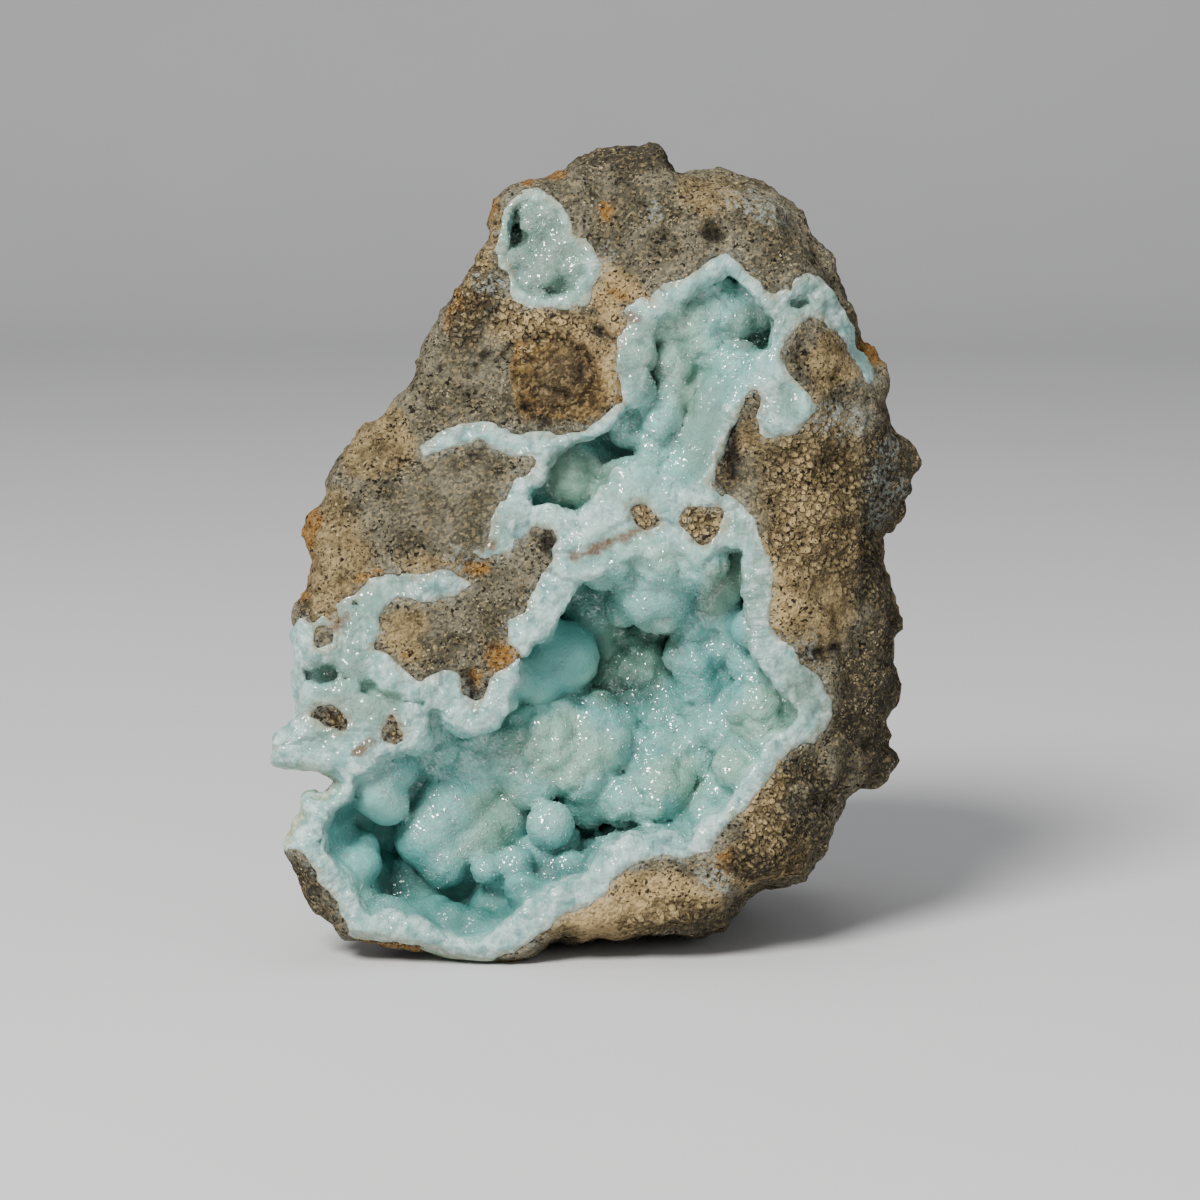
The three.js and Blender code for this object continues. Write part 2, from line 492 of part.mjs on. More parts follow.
const MAIN_BOX = [[-42, BEFORE_FACE, -6], [36, 34, 86]];
const CORNER_BOX = [[-18, BEFORE_FACE, 70], [6, 18, 95]];
const MAIN_HOLLOWS = [MAIN_HOLLOW, UPPER_HOLLOW, LEFT_HOLLOW];
const ridgeLumps = Array.from({ length: RIDGE_BALLS }, (_, n) =>
  RIDGE_ENDS[0].map((start, i) => mix(start, RIDGE_ENDS[1][i], n / (RIDGE_BALLS - 1))),
);

const body = solidOf(surfaceOf(bodyField, [-46, -10, -12], [46, 58, 104], BODY_CELL));
const mainSpace = crustSpace(CRUST_EDGE, ISLANDS, MAIN_HOLLOWS, MAIN_BOX, 0);
const mainFill = crustSpace(CRUST_EDGE, ISLANDS, MAIN_HOLLOWS, MAIN_BOX, JOINT_GAP);
const cornerSpace = crustSpace(CORNER_EDGE, [], [CORNER_HOLLOW], CORNER_BOX, 0);
const cornerFill = crustSpace(CORNER_EDGE, [], [CORNER_HOLLOW], CORNER_BOX, JOINT_GAP);
const mainLumps = [...MAIN_LUMPS, ...UPPER_LUMPS, ...ridgeLumps];
const mainOpen = openSpace(MAIN_HOLLOWS, mainLumps, MAIN_BOX);
const cornerOpen = openSpace([CORNER_HOLLOW], CORNER_LUMPS, CORNER_BOX);

// A solid in the face frame as a named mesh that stands on z = 0.
function standingMesh(solid, name, material) {
  const leaning = new THREE.Matrix4()
    .makeTranslation(-MIDDLE.x, -MIDDLE.y, 0)
    .multiply(new THREE.Matrix4().makeRotationX(-LEAN));
  const standing = largest(solid.transform(leaning.toArray()).subtract(groundBlock()));
  const { vertProperties, triVerts } = standing.getMesh();
  const geometry = new THREE.BufferGeometry();
  geometry.setAttribute('position', new THREE.Float32BufferAttribute(vertProperties, 3));
  geometry.setIndex(new THREE.BufferAttribute(triVerts, 1));
  const mesh = new THREE.Mesh(geometry, material);
  mesh.name = name;
  return mesh;
}

const rockMaterial = new THREE.MeshStandardMaterial({
  color: 0x8a7a66,
  roughness: 0.92,
  metalness: 0,
});
const crustMaterial = new THREE.MeshStandardMaterial({
  color: 0xa9cfcd,
  roughness: 0.35,
  metalness: 0,
});

const rock = body.subtract(mainSpace.add(mainFill)).subtract(cornerSpace.add(cornerFill));
const mainCrust = body.intersect(mainFill).subtract(mainOpen);
const cornerCrust = body.intersect(cornerFill).subtract(cornerOpen);

const specimen = new THREE.Group();
specimen.add(standingMesh(rock, 'host_rock', rockMaterial));
specimen.add(standingMesh(mainCrust, 'main_crust', crustMaterial));
specimen.add(standingMesh(cornerCrust, 'corner_crust', crustMaterial));

export default specimen;
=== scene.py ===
import math
from collections import namedtuple

import bpy
import numpy as np
from mathutils import Matrix, Vector


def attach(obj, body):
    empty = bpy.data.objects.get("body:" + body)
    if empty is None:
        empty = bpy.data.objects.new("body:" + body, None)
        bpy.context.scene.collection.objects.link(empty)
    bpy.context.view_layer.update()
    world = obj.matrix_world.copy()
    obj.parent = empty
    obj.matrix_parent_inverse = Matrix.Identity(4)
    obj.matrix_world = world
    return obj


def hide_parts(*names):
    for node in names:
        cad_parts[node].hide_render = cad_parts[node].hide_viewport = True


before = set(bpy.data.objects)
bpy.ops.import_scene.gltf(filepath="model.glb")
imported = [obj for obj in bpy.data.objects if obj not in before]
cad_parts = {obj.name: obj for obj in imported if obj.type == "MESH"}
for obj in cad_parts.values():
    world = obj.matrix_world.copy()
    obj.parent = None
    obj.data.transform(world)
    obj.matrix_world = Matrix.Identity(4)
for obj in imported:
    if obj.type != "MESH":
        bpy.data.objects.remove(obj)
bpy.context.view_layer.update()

# A specimen of hemimorphite: broken sandy rock with a deep hollow, lined with a pale blue-green
# crust of rounded lumps that glitters with tiny crystals.
#
# Shapes are laid out in millimetres in the frame of the broken front face: u runs to the right,
# v runs up the face, and w is the depth behind it. The face leans back by LEAN, on z = 0.

MM = 0.001
LEAN = math.radians(8)
MIDDLE_X = -0.14  # from the face frame's origin to the middle of the base
MIDDLE_Y = 27.01
CRUST_THICKNESS = 3.6
RIM_DEPTH = 6
CRUST_OVERLAP = 0.25  # how far the crust is sunk into the rock, and stands proud of its face
LUMP_BLEND = 0.7
SCALLOP = 1.1  # how far the crust's lobes reach into a hollow from its edge
ROCK_SKIN = 1  # the rock left outside the corner's crust
THINNEST_ROCK = 0.4  # left over the corner's crust by the rock's own relief
RIM_LIP = 1.6  # how deep a hollow goes straight in before its wall slopes
DRUSE_SIZE = 0.3
WALL_LUMP_SPACING = 5.2
ROCK_CELL = 0.6
CRUST_CELL = 0.52
POCKET_CELL = 0.36
MAIN_DRUSE = 32000
CORNER_DRUSE = 1600

# Outlines on the broken face, as points (u, v): the specimen's own, the outer edge of the crust,
# and the islands of rock that stand in the crust.
SILHOUETTE = [
    (-13.5, -0.1), (-10, 0.1), (-8, 0.8), (-5.2, 2.6), (-2, 2.8), (3, 3.4), (6.4, 2.9),
    (12, 3.2), (15, 4.6), (17, 6.3), (19, 7.8), (24.5, 8.5), (25, 10), (26, 13), (27.5, 15),
    (29.5, 18), (32.4, 20.2), (33.8, 23), (33.3, 25), (34.2, 29.5), (35.3, 31.5), (35.2, 34),
    (34.4, 37), (35.1, 40), (35, 43), (33.7, 46), (33, 49.5), (36, 52.2), (35.8, 53.5),
    (36.8, 54.8), (37.3, 58), (36.5, 60), (35.2, 62), (34.5, 65), (34.2, 67.8), (32.8, 69.7),
    (31, 72), (30.5, 75.5), (29, 79), (28, 82.5), (26.5, 85), (24.7, 86.5), (23.5, 88.5),
    (22, 90.3), (17.5, 91.5), (14, 92.6), (10, 92.2), (8.5, 94), (7, 95.1), (4, 95.1),
    (0.5, 94.2), (-2.5, 92.8), (-4.5, 91.5), (-7, 90.6), (-10, 90.1), (-12, 88.3),
    (-13, 85.5), (-13.2, 83.2), (-15.5, 79.5), (-17, 76.8), (-19, 74), (-20.3, 71),
    (-22.2, 66.5), (-24.3, 64), (-26, 63.3), (-28.3, 61.2), (-30.8, 58), (-32.2, 53.2),
    (-33.7, 52), (-33.7, 49.8), (-33, 47), (-34, 43.6), (-35.5, 40), (-35.2, 37), (-35, 33),
    (-34.7, 28.5), (-37, 26), (-37.4, 23), (-32.2, 22.7), (-30.2, 20.8), (-31.6, 19.7),
    (-34.1, 20.1), (-34.4, 17.4), (-36.6, 13.6), (-36.3, 12.2), (-34.5, 9.5), (-32.5, 6.5),
    (-31, 4.8), (-29.5, 3), (-25, 2.2), (-23.5, 1.5), (-20, 1.3), (-17, 0.5),
]
CRUST_EDGE = [
    (14.5, 81.6), (16.2, 80.2), (17.4, 78.6), (18.6, 77), (20, 76.4), (21.6, 77.6),
    (23, 79.1), (25.2, 78.9), (27, 77.3), (28.8, 74.6), (30.4, 71.8), (31.8, 69.4),
    (31.4, 67.2), (30.4, 66.8), (29.8, 69), (28.4, 71.6), (26.4, 73.2), (24.8, 74.6),
    (23, 74), (21.3, 72.2), (20.4, 69.8), (21, 67.6), (23.4, 65.6), (24.6, 64), (23.6, 62.4),
    (21.4, 60.8), (19, 60.6), (18.2, 62.6), (18.9, 65), (17.8, 66.4), (16.2, 64.6),
    (14.8, 62), (13.4, 58.4), (12.3, 55.4), (13.6, 54), (15.8, 53.2), (17.6, 51),
    (18.4, 48.4), (19.5, 45.4), (19.3, 42), (19.1, 39.4), (20, 37.6), (21.8, 36.8),
    (23, 34.8), (25, 33.4), (26.1, 31), (25.6, 28), (24, 26.2), (21.6, 25), (20, 23.4),
    (18.4, 20.8), (16.6, 18.6), (14.4, 16.8), (13.2, 15), (12.2, 13.2), (10, 12.6),
    (6.4, 12.6), (3.4, 11.6), (1.4, 10), (0.4, 8.2), (-1.6, 7.2), (-3.8, 6.4), (-6, 4.6),
    (-8.2, 2.9), (-10.4, 1.8), (-13.4, 1.3), (-16.6, 1.7), (-19.4, 2.5), (-22, 3.2),
    (-25, 3.6), (-28.2, 4), (-29.2, 6.2), (-30.6, 8.6), (-32.4, 11.4), (-34, 13.2),
    (-39, 13.4), (-39, 38), (-35.8, 38.4), (-34.2, 39.9), (-32.8, 39), (-31.7, 40.1),
    (-30.6, 39), (-29.6, 41.2), (-27.6, 42.6),
    (-25.4, 44.6), (-23.2, 45.2), (-20.4, 44.4), (-17.6, 45.2), (-15.8, 45.4), (-15.4, 47),
    (-13.4, 47.6), (-12.4, 49.8), (-11.6, 51.8), (-10.6, 54), (-9.6, 55.9), (-7.6, 55.9),
    (-6.8, 57.2), (-7.8, 58.3), (-11, 58.8), (-14, 60.2), (-17, 59.4), (-20, 58.2),
    (-20.4, 59.2), (-17.6, 61), (-14.6, 62.2), (-11.4, 61.6), (-8, 60.8), (-4, 60.7),
    (-1.6, 61.4), (0.4, 62.8), (2.6, 64.4), (2.2, 66.6), (1.6, 69), (2.4, 71.4),
    (3.2, 73.2), (2.6, 75.2), (4.6, 76.2), (6.4, 75.2), (6.4, 77), (8.4, 77.9), (11, 79.2),
    (12.6, 80.8),
]
ISLANDS = [
    [
        (-7.6, 50.4), (-5.4, 50.2), (-4.7, 48.6), (-5, 46.4), (-6.6, 44.6), (-7.6, 42.4),
        (-8.8, 40.2), (-10.6, 39.6), (-10.6, 37.6), (-9.2, 36), (-10.6, 34.2), (-12.6, 33),
        (-13, 31), (-14.3, 29.4), (-15.4, 31), (-16.2, 33.4), (-18, 33.6), (-20, 32.6),
        (-22.4, 33.6), (-24, 35.6), (-26.2, 36.6), (-25, 38.4), (-24.8, 40.6),
        (-23.6, 41.9), (-20.4, 41.8), (-16.4, 42.4), (-14.8, 43.6), (-17, 45), (-16.6, 48),
        (-13.4, 46.7), (-11.4, 46.8), (-9.6, 48.2),
    ],
    [
        (9.6, 52.8), (12, 52.6), (14.2, 52.8), (14.6, 51.4), (13.6, 49.6), (12, 47.9),
        (10.4, 48.6), (9.2, 50.2),
    ],
    [(3, 53), (4.9, 53.5), (6.2, 52), (7.2, 50.3), (5.4, 49.4), (3.8, 50.7)],
    [(-25.2, 26.6), (-24.4, 28.4), (-23.6, 29.2), (-22.8, 28), (-22.2, 26.6), (-23.4, 25.2)],
    [(-33.6, 28.6), (-32, 30.2), (-30, 30.6), (-28.4, 27.8), (-29.6, 26.6), (-31, 27.4)],
    [
        (-33, 37.2), (-32.4, 38.7), (-31.2, 39.3), (-29.8, 38.6), (-29.9, 36.8), (-31.2, 36),
        (-32.5, 36.3),
    ],
]
# Each hollow: its depth behind the face, and the inner edge of its rim.
MAIN_HOLLOW = (22, [
    (-2.6, 43.8), (0.5, 45.5), (4, 47), (8, 47.2), (11, 46.6), (14, 47.6), (16.2, 47.6),
    (16.4, 44), (17.1, 40), (17.2, 36.4), (17.5, 34.4), (19.6, 33), (21.8, 31), (22.8, 28.8),
    (22.4, 27.3), (19.6, 26.2), (18.4, 24), (16.8, 22.4), (16, 20.4), (15, 18.6),
    (13.4, 17.6), (11.8, 16.6), (10.6, 14.4), (9.2, 15), (7.4, 15.3), (5, 15), (2.6, 14.4),
    (0.6, 13.6), (-0.8, 12), (-2, 10.2), (-4, 9.8), (-6, 8.6), (-8.4, 7.4), (-9.8, 5.6),
    (-11.6, 4.5), (-13, 3.4), (-16.4, 3.2), (-18.6, 4.2), (-20.8, 5.4), (-23.6, 6),
    (-26.8, 5.8), (-27.4, 7.4), (-28.4, 9.4), (-29.8, 11.2), (-31, 12.8), (-31.6, 15.2),
    (-31, 17.8), (-28.9, 19.6), (-28.4, 21.8), (-26, 23.6), (-23.6, 24.2), (-21.6, 25.2),
    (-20.2, 27), (-19.6, 29.4), (-18.4, 30), (-17.6, 28.4), (-16.2, 27.2), (-14.4, 26.8),
    (-12.6, 27.4), (-11.8, 28.8), (-10.2, 30), (-9.9, 31.4), (-9.2, 32.6), (-9.4, 34.2),
    (-8.4, 35.6), (-8, 37), (-6.8, 37), (-5.4, 37.6), (-4.8, 39.2), (-3.8, 41.2),
])
UPPER_HOLLOW = (8, [
    (8.2, 76.2), (10.6, 76.6), (12.6, 78), (14.4, 79.4), (16, 78.8), (17.4, 77),
    (19, 75.2), (20, 74.2), (19.9, 71.6), (18.8, 70.2), (17.8, 68.4), (16, 65.6),
    (14.4, 63), (13, 60), (12, 57), (10.8, 54.8), (9, 54.4), (7.8, 55.8), (6.4, 57.2),
    (4.4, 57.2), (2, 56.8), (0.2, 55.2), (-1, 53), (-2.6, 51.4), (-5.2, 52.3),
    (-7.6, 52.6), (-7.8, 54.6), (-6.4, 56.6), (-5.4, 58.8), (-2.4, 60.2), (0, 61.2),
    (2, 62.8), (3.8, 64.2), (4, 66.4), (5.6, 68.2), (5.6, 70.6), (5.8, 73), (7, 75),
])
LEFT_HOLLOW = (4.5, [
    (-33.2, 33.6), (-32.4, 34.6), (-30, 34.8), (-27.4, 35.2), (-26, 33.6), (-24.4, 31.8),
    (-22, 31), (-20, 30.6), (-19.4, 29.2), (-21, 29.8), (-25.4, 30.2), (-27, 31.6),
    (-28.6, 32.4), (-31.4, 32.4),
])
# The small pocket near the top left: the outer edge of its crust, and its hollow.
CORNER_EDGE = [
    (-7.4, 88.6), (-5.6, 87.6), (-4, 86.2), (-3.2, 83.4), (-1, 82.2), (-0.2, 80.4),
    (-0.6, 78), (-1.8, 76.2), (-4, 75.2), (-7.4, 75.2), (-9.6, 76), (-10.2, 77.6),
    (-10, 79.4), (-11.2, 80.8), (-11.6, 83.4), (-10.9, 86), (-10, 87.4), (-8.6, 88.3),
]
CORNER_HOLLOW = (6.5, [
    (-9.8, 86.6), (-8, 87.7), (-5.8, 86.9), (-4.3, 85.4), (-3.8, 83), (-2, 81.4),
    (-1.6, 79), (-2.6, 76.9), (-5, 76.3), (-7.6, 76.2), (-9, 77.4), (-9.6, 79.6),
    (-10.6, 81.4), (-10.9, 84),
])
# Lumps as balls: u, v, the centre's depth w, and the radius.
MIDDLE_MASS = [
    (-0.9, 26, 12, 5.4), (-2.3, 22, 10, 3.8), (-8, 21.2, 10, 3.6), (-6.6, 25.6, 10, 5),
    (-11.4, 24.2, 10.5, 3.8), (-4.6, 28.6, 11.5, 3.6), (-12.6, 22, 11.5, 2.6), (-6, 25, 18, 7),
    (-14.8, 24.6, 10.5, 3.2), (-18.6, 24.2, 9, 3.2), (-16.5, 26.5, 12, 3), (-20.6, 22.4, 12, 2.8),
    (-9.8, 30.6, 11, 2.6), (-2.2, 18.6, 12, 2.7), (-1, 17, 12.5, 2), (4, 28.6, 15, 3),
]
LEFT_MASS = [
    (-20.2, 14.5, 9.5, 3.8), (-18.4, 11.6, 9.5, 3.2), (-17.4, 18, 10, 4), (-14.7, 20, 11.5, 3.1),
    (-15, 14.4, 12, 4.4), (-11.6, 16.4, 14, 4.2), (-16, 16, 18, 6), (-21.6, 19.6, 12.5, 3),
    (-17, 8, 15, 4), (-12, 8.6, 15, 4), (-21, 9.4, 14.5, 3.4),
]
SMALL_BALLS = [
    (-13.2, 10.9, 6.8, 1.9), (-9.8, 11.4, 7.2, 2.1), (-7.6, 13, 9.5, 1.9), (-5.8, 15.9, 7.2, 2.8),
    (-4.4, 13, 12.5, 2.6), (-8.5, 15, 17, 4), (-7, 11.6, 10.5, 2.8), (-11, 10.2, 10.5, 2.6),
    (-11.6, 9.4, 9.2, 2.2),
]
RIGHT_MASS = [
    (6.7, 20.2, 10, 4.1), (2.7, 18.4, 10, 3), (5.2, 17.4, 10.5, 2.8), (0.5, 18.4, 11.5, 2.4),
    (6, 24.8, 11.5, 2.7), (9.9, 23.6, 12, 3), (13.5, 26.2, 11, 3.1), (12.4, 22.4, 12.5, 2.7),
    (11.8, 29.8, 13.5, 3.4), (8, 28, 15, 3), (9, 23, 17, 6), (13, 18.4, 10, 2.4),
    (9.4, 16.6, 11, 2.6), (11.4, 18, 12.5, 2.6), (14.6, 34, 13.4, 3),
    (14.3, 19.8, 9.4, 2), (17, 34.4, 9, 2.2),
]
RIGHT_WALL = [
    (15.4, 22.2, 7, 2.2), (18.6, 29.8, 8, 4), (18.8, 26.2, 8, 2.6), (16.4, 28.2, 11, 3.2),
    (15.8, 25.2, 10, 2), (11, 35.4, 11.5, 3.3), (11.4, 31.8, 12, 3), (11.4, 39.7, 10, 2.7),
    (14.8, 40, 9, 2.6), (15, 37.2, 10, 2.5), (17.4, 36, 10.5, 2.6), (14.6, 31.5, 14, 3),
    (12.4, 35, 18.5, 5), (13.5, 43.8, 7.5, 3.1), (15.6, 44.8, 7, 2.4),
]
ROOF = [
    (6.2, 43.2, 7, 4.8), (2.8, 41, 9.5, 2.4), (5, 46.8, 5.4, 4.2), (10, 46.6, 5.2, 3.6),
    (8, 43, 13, 5), (-1.4, 40.8, 15, 3.6), (2, 43, 14, 3.4),
]
BACK_WALL = [
    (4.6, 34.4, 15.5, 3.4), (7.2, 30.6, 16, 3), (1.2, 37, 16.5, 2.8), (1.4, 32.4, 16.5, 3),
    (6.2, 37.6, 17, 2.8), (-4.4, 35.4, 10, 4.3), (-7.2, 33.2, 8.5, 3.3), (-5, 31.2, 14, 3.6),
    (-6, 35, 17, 5),
]
LEFT_END = [
    (-27.6, 22.4, 5, 3.1), (-23.8, 22.6, 6, 2.8), (-25.6, 20.2, 5.2, 3.3), (-24.5, 18.4, 5.6, 2.5),
    (-22.6, 23.2, 10, 2.8), (-19.4, 27.4, 7.4, 2.4), (-27.7, 11.4, 5.4, 2.5), (-30.4, 14.8, 8, 2.2),
    (-28.4, 17.2, 12, 2.6), (-25, 15.8, 15, 3.2),
]
FLOOR_LUMPS = [
    (-19, 4.6, 8.5, 3), (-14.2, 4, 6, 2.4), (-12.2, 6, 10.5, 2.9), (-8, 7.8, 9.5, 2.9),
    (-4.8, 9, 10, 2.5), (-1.2, 11, 10, 2),
]
MAIN_LUMPS = (
    MIDDLE_MASS + LEFT_MASS + SMALL_BALLS + RIGHT_MASS + RIGHT_WALL + ROOF + BACK_WALL + LEFT_END
    + FLOOR_LUMPS
)
UPPER_LUMPS = [
    (13, 76.6, 5.4, 2.9), (15.2, 74.4, 5.4, 2.8), (11.2, 74, 5, 3.1), (8.6, 72.6, 4.8, 2.8),
    (11.6, 71, 5.6, 2.9), (8.6, 69, 5, 2.8), (8.4, 65.8, 5.2, 2.6), (6.6, 62.2, 4.8, 3),
    (3.2, 61.6, 5.4, 2.2), (6.4, 59.2, 5.2, 2.4), (9, 62.2, 7, 2.2), (10.8, 67.4, 6.6, 2.3),
    (18.2, 75, 6.4, 2.2), (-2.9, 56.6, 6.6, 3.8), (-5.6, 54.8, 6.4, 2.6), (2.8, 57.4, 8, 1.9),
    (4.2, 54, 4.4, 4.2),
]
CORNER_LUMPS = [
    (-6.3, 85, 2.9, 3.1), (-7.8, 87.2, 2.6, 1.9), (-4.6, 86.4, 2.6, 1.9), (-4.8, 82.6, 2.8, 2.4),
    (-7.4, 81.4, 2.8, 2.5), (-3, 80.6, 2.6, 2.2), (-9.8, 80.6, 2.8, 2.2), (-6.2, 79.8, 3, 2.3),
    (-8.8, 78.2, 2.8, 1.9), (-2.4, 78.4, 2.8, 1.8), (-7, 76.9, 3, 1.6), (-11.4, 83.4, 3, 1.5),
    (-10.8, 86, 2.8, 1.4), (-4, 76.8, 3, 1.5), (-6.4, 82, 6, 4), (-1.4, 80.4, 2.6, 1.2),
]
# Lumps that stand out of the broken face of the crust: u, v, the centre's depth behind the
# face, and the radius.
FACE_LUMPS = [
    (3.2, 54.4, 3, 3.9), (-0.6, 50, 2.6, 3), (-2.6, 47.4, 2.6, 2.8), (2.2, 47.2, 3, 3.3),
    (6.6, 47.2, 3.2, 3.4), (9, 54.4, 2.4, 2.4), (11.6, 46.2, 2.8, 2.9), (15.6, 49.6, 2.2, 2.2),
    (4, 66.6, 2.2, 2.2), (4, 70, 2.2, 2.2), (4.8, 73.4, 2, 2.2), (7.4, 76, 2.2, 2.1),
    (24.6, 76.4, 2.2, 2.3), (21.6, 74.4, 2, 2), (21, 62.6, 2, 2.6), (23, 64.4, 2, 2),
    (19.9, 67, 2, 2), (27.6, 74, 2, 1.9), (-31.6, 37, 2.2, 3), (-28.2, 34.4, 1.7, 2),
    (-26, 34.6, 1.8, 1.8), (-23.8, 32.9, 1.8, 1.9), (-21.6, 31.8, 1.7, 1.6), (-17.6, 30.6, 1.8, 1.8),
    (-15.8, 28.3, 2, 2.2), (-13, 28.7, 2, 2.2), (-11.3, 31, 2, 1.9), (-32.6, 31.2, 1.7, 1.8),
    (-29.6, 31.4, 1.6, 1.8), (-26.7, 29.7, 1.6, 1.9), (-21.5, 28.4, 1.7, 1.9), (-20.9, 26, 2, 2),
    (-33.6, 26.6, 2, 2.2), (-35, 24.4, 2.4, 2.1), (-31.2, 24.4, 2, 2.2), (-27.4, 24, 2, 2),
    (-27, 27.4, 1.8, 1.7), (-28, 40.8, 1.8, 1.9), (-26.2, 43, 1.8, 1.8), (-21, 43.6, 1.6, 1.7),
    (-12.4, 52, 1.8, 1.9), (-9, 50.4, 1.8, 1.6), (-8.4, 57.2, 1.4, 1.4),
]
# Pits in the broken face of the crust: u, v, the half sizes, and the depth.
PITS = [
    (-31.6, 33.3, 2, 1, 2.8), (-26.6, 31.9, 1.3, 0.8, 2), (-29.2, 33, 1.1, 0.6, 2),
    (22.3, 75.9, 1.2, 0.4, 1.6), (-27.6, 41.4, 0.5, 0.4, 1.2),
]
# A smooth ridge of crust along the right of the upper hollow, as its two ends.
RIDGE = ((10.2, 56.6, 5, 3), (16, 68.6, 4.4, 3.2))
# Dark gaps kept open between the lumps, as balls.
GAPS = [
    (1, 14.7, 12, 1.5), (-1.2, 13.8, 12, 1.3), (3.2, 15.3, 12, 1.1), (-24, 9, 9, 2.6),
    (-21, 8.6, 9.5, 1.4), (-2.4, 41.2, 8, 1.7), (-30.9, 19.2, 4.5, 1.7), (-30, 18.6, 8, 1.6),
    (4.9, 65.6, 5, 1.1), (18.2, 71.8, 5.4, 0.8), (3.2, 58.6, 7, 1), (-9.6, 86.4, 2.2, 0.6),
    (-9.4, 85, 2.2, 0.8), (-9.2, 83.6, 2.2, 0.9), (-8.9, 82.4, 2.4, 0.8), (-4.6, 77.8, 2.4, 0.9),
    (-6, 77.6, 2.4, 0.8), (-7.2, 77.8, 2.4, 0.6), (1.2, 14.9, 9, 1), (3.5, 15.7, 9, 0.8),
    (-0.8, 14.2, 9, 0.9), (0.9, 14.6, 6.4, 0.8), (2.7, 15.3, 6.4, 0.8), (4.3, 15.9, 6.8, 0.7),
    (-0.8, 14.1, 7, 0.8), (2.6, 15.5, 9, 1.1), (4.3, 16, 9.5, 0.9), (2.6, 15.5, 12, 1.2),
]
# The back of the rock: a plainer outline, and the planes that it broke along, as an outward
# direction (u, w, v) and a distance from BACK_CENTRE.
BACK_OUTLINE = [
    (-12, 1), (12, 3.6), (24, 11), (32, 24), (33.5, 44), (35, 57), (29, 73), (20, 88), (6, 92),
    (-9, 86), (-19, 68), (-29, 52), (-31, 38), (-29.6, 22), (-29.8, 12), (-24, 4),
]
BACK_CENTRE = (0, 20, 45)
BACK_PLANES = [
    ((0.1, 1, 0.06), 25), ((-0.2, 0.97, -0.2), 26.5), ((0.72, 0.66, 0.16), 31),
    ((0.8, 0.42, -0.3), 35), ((-0.66, 0.74, 0.16), 28), ((-0.78, 0.5, -0.3), 31),
    ((0.2, 0.72, 0.66), 36), ((0.62, 0.4, 0.66), 41), ((-0.56, 0.5, 0.66), 35),
    ((0.05, 0.8, -0.6), 40), ((0.7, 0.3, -0.64), 42),
]


def smoothstep(low, high, x):
    t = np.clip((x - low) / (high - low), 0, 1)
    return t * t * (3 - 2 * t)


def mix(a, b, t):
    return a + (b - a) * t


def smooth_max(a, b, width):
    """The larger of two fields, rounded over a width where they cross."""
    h = np.maximum(width - np.abs(a - b), 0) / width
    return np.maximum(a, b) + h * h * width / 4


def smooth_min(a, b, width):
    return -smooth_max(-a, -b, width)


def outline_distance(outline, u, v):
    """Distance from each (u, v) to a closed outline, negative inside it."""
    nearest = np.full(np.broadcast(u, v).shape, np.inf)
    inside = np.zeros(nearest.shape, bool)
    for (u0, v0), (u1, v1) in zip(outline[-1:] + outline[:-1], outline):
        du, dv = u1 - u0, v1 - v0
        along = np.clip(((u - u0) * du + (v - v0) * dv) / (du * du + dv * dv), 0, 1)
        nearest = np.minimum(nearest, np.hypot(u - u0 - along * du, v - v0 - along * dv))
        if dv:
            inside ^= ((v0 > v) != (v1 > v)) & (u < u0 + (v - v0) * du / dv)
    return np.where(inside, -nearest, nearest)


def lattice(i, j, k):
    """Repeatable values from 0 to 1 at the corners of the noise lattice."""
    s = np.sin(i * 127.1 + j * 311.7 + k * 74.7) * 43758.5453
    return s - np.floor(s)


def noise(u, w, v, size):
    """Smooth noise from -1 to 1 at points, or on a grid given by its three axes."""
    cells, fades = [], []
    for x in (u, w, v):
        x = np.asarray(x, float) / size
        cells.append(np.floor(x))
        fades.append(smoothstep(0, 1, x - np.floor(x)))
    (i, j, k), (a, b, c) = cells, fades

    def row(dj, dk):
        return mix(lattice(i, j + dj, k + dk), lattice(i + 1, j + dj, k + dk), a)

    def sheet(dk):
        return mix(row(0, dk), row(1, dk), b)

    return 2 * mix(sheet(0), sheet(1), c) - 1


def nearest_seed(u, w, v, size):
    """Of one random point in each cube of a grid, the distance to the nearest, in cube sizes,
    and a random value of its own from 0 to 1."""
    scaled = [np.asarray(x, float) / size for x in (u, w, v)]
    base = [np.floor(x) for x in scaled]
    nearest, value = 9.0, 0.0
    for step in np.ndindex(3, 3, 3):
        i, j, k = (b + d - 1 for b, d in zip(base, step))
        seeds = (i + lattice(i, j, k), j + lattice(j, k, i), k + lattice(k, i, j))
        away = sum((x - s) ** 2 for x, s in zip(scaled, seeds))
        value = np.where(away < nearest, lattice(i + 5, j, k), value)
        nearest = np.minimum(nearest, away)
    return np.sqrt(nearest), value


def cell_noise(u, w, v, size):
    return nearest_seed(u, w, v, size)[0]


def plates(u, w, v, size):
    """A level of its own from -0.5 to 0.5 for each of the plates that a surface is broken into."""
    return nearest_seed(u, w, v, size)[1] - 0.5


def domes(u, w, v, size):
    """Rounded bumps that meet in creases, from about -0.5 to 0.35."""
    return np.maximum(0.35 - cell_noise(u, w, v, size) ** 2, -0.5)


def wander(u, v, *waves):
    """(u, v) pushed about within the face by waves of noise: reach, two layers and size."""
    moved_u, moved_v = u, v
    for reach, layer_u, layer_v, size in waves:
        moved_u = moved_u + reach * noise(u, layer_u, v, size)
        moved_v = moved_v + reach * noise(u, layer_v, v, size)
    return moved_u, moved_v


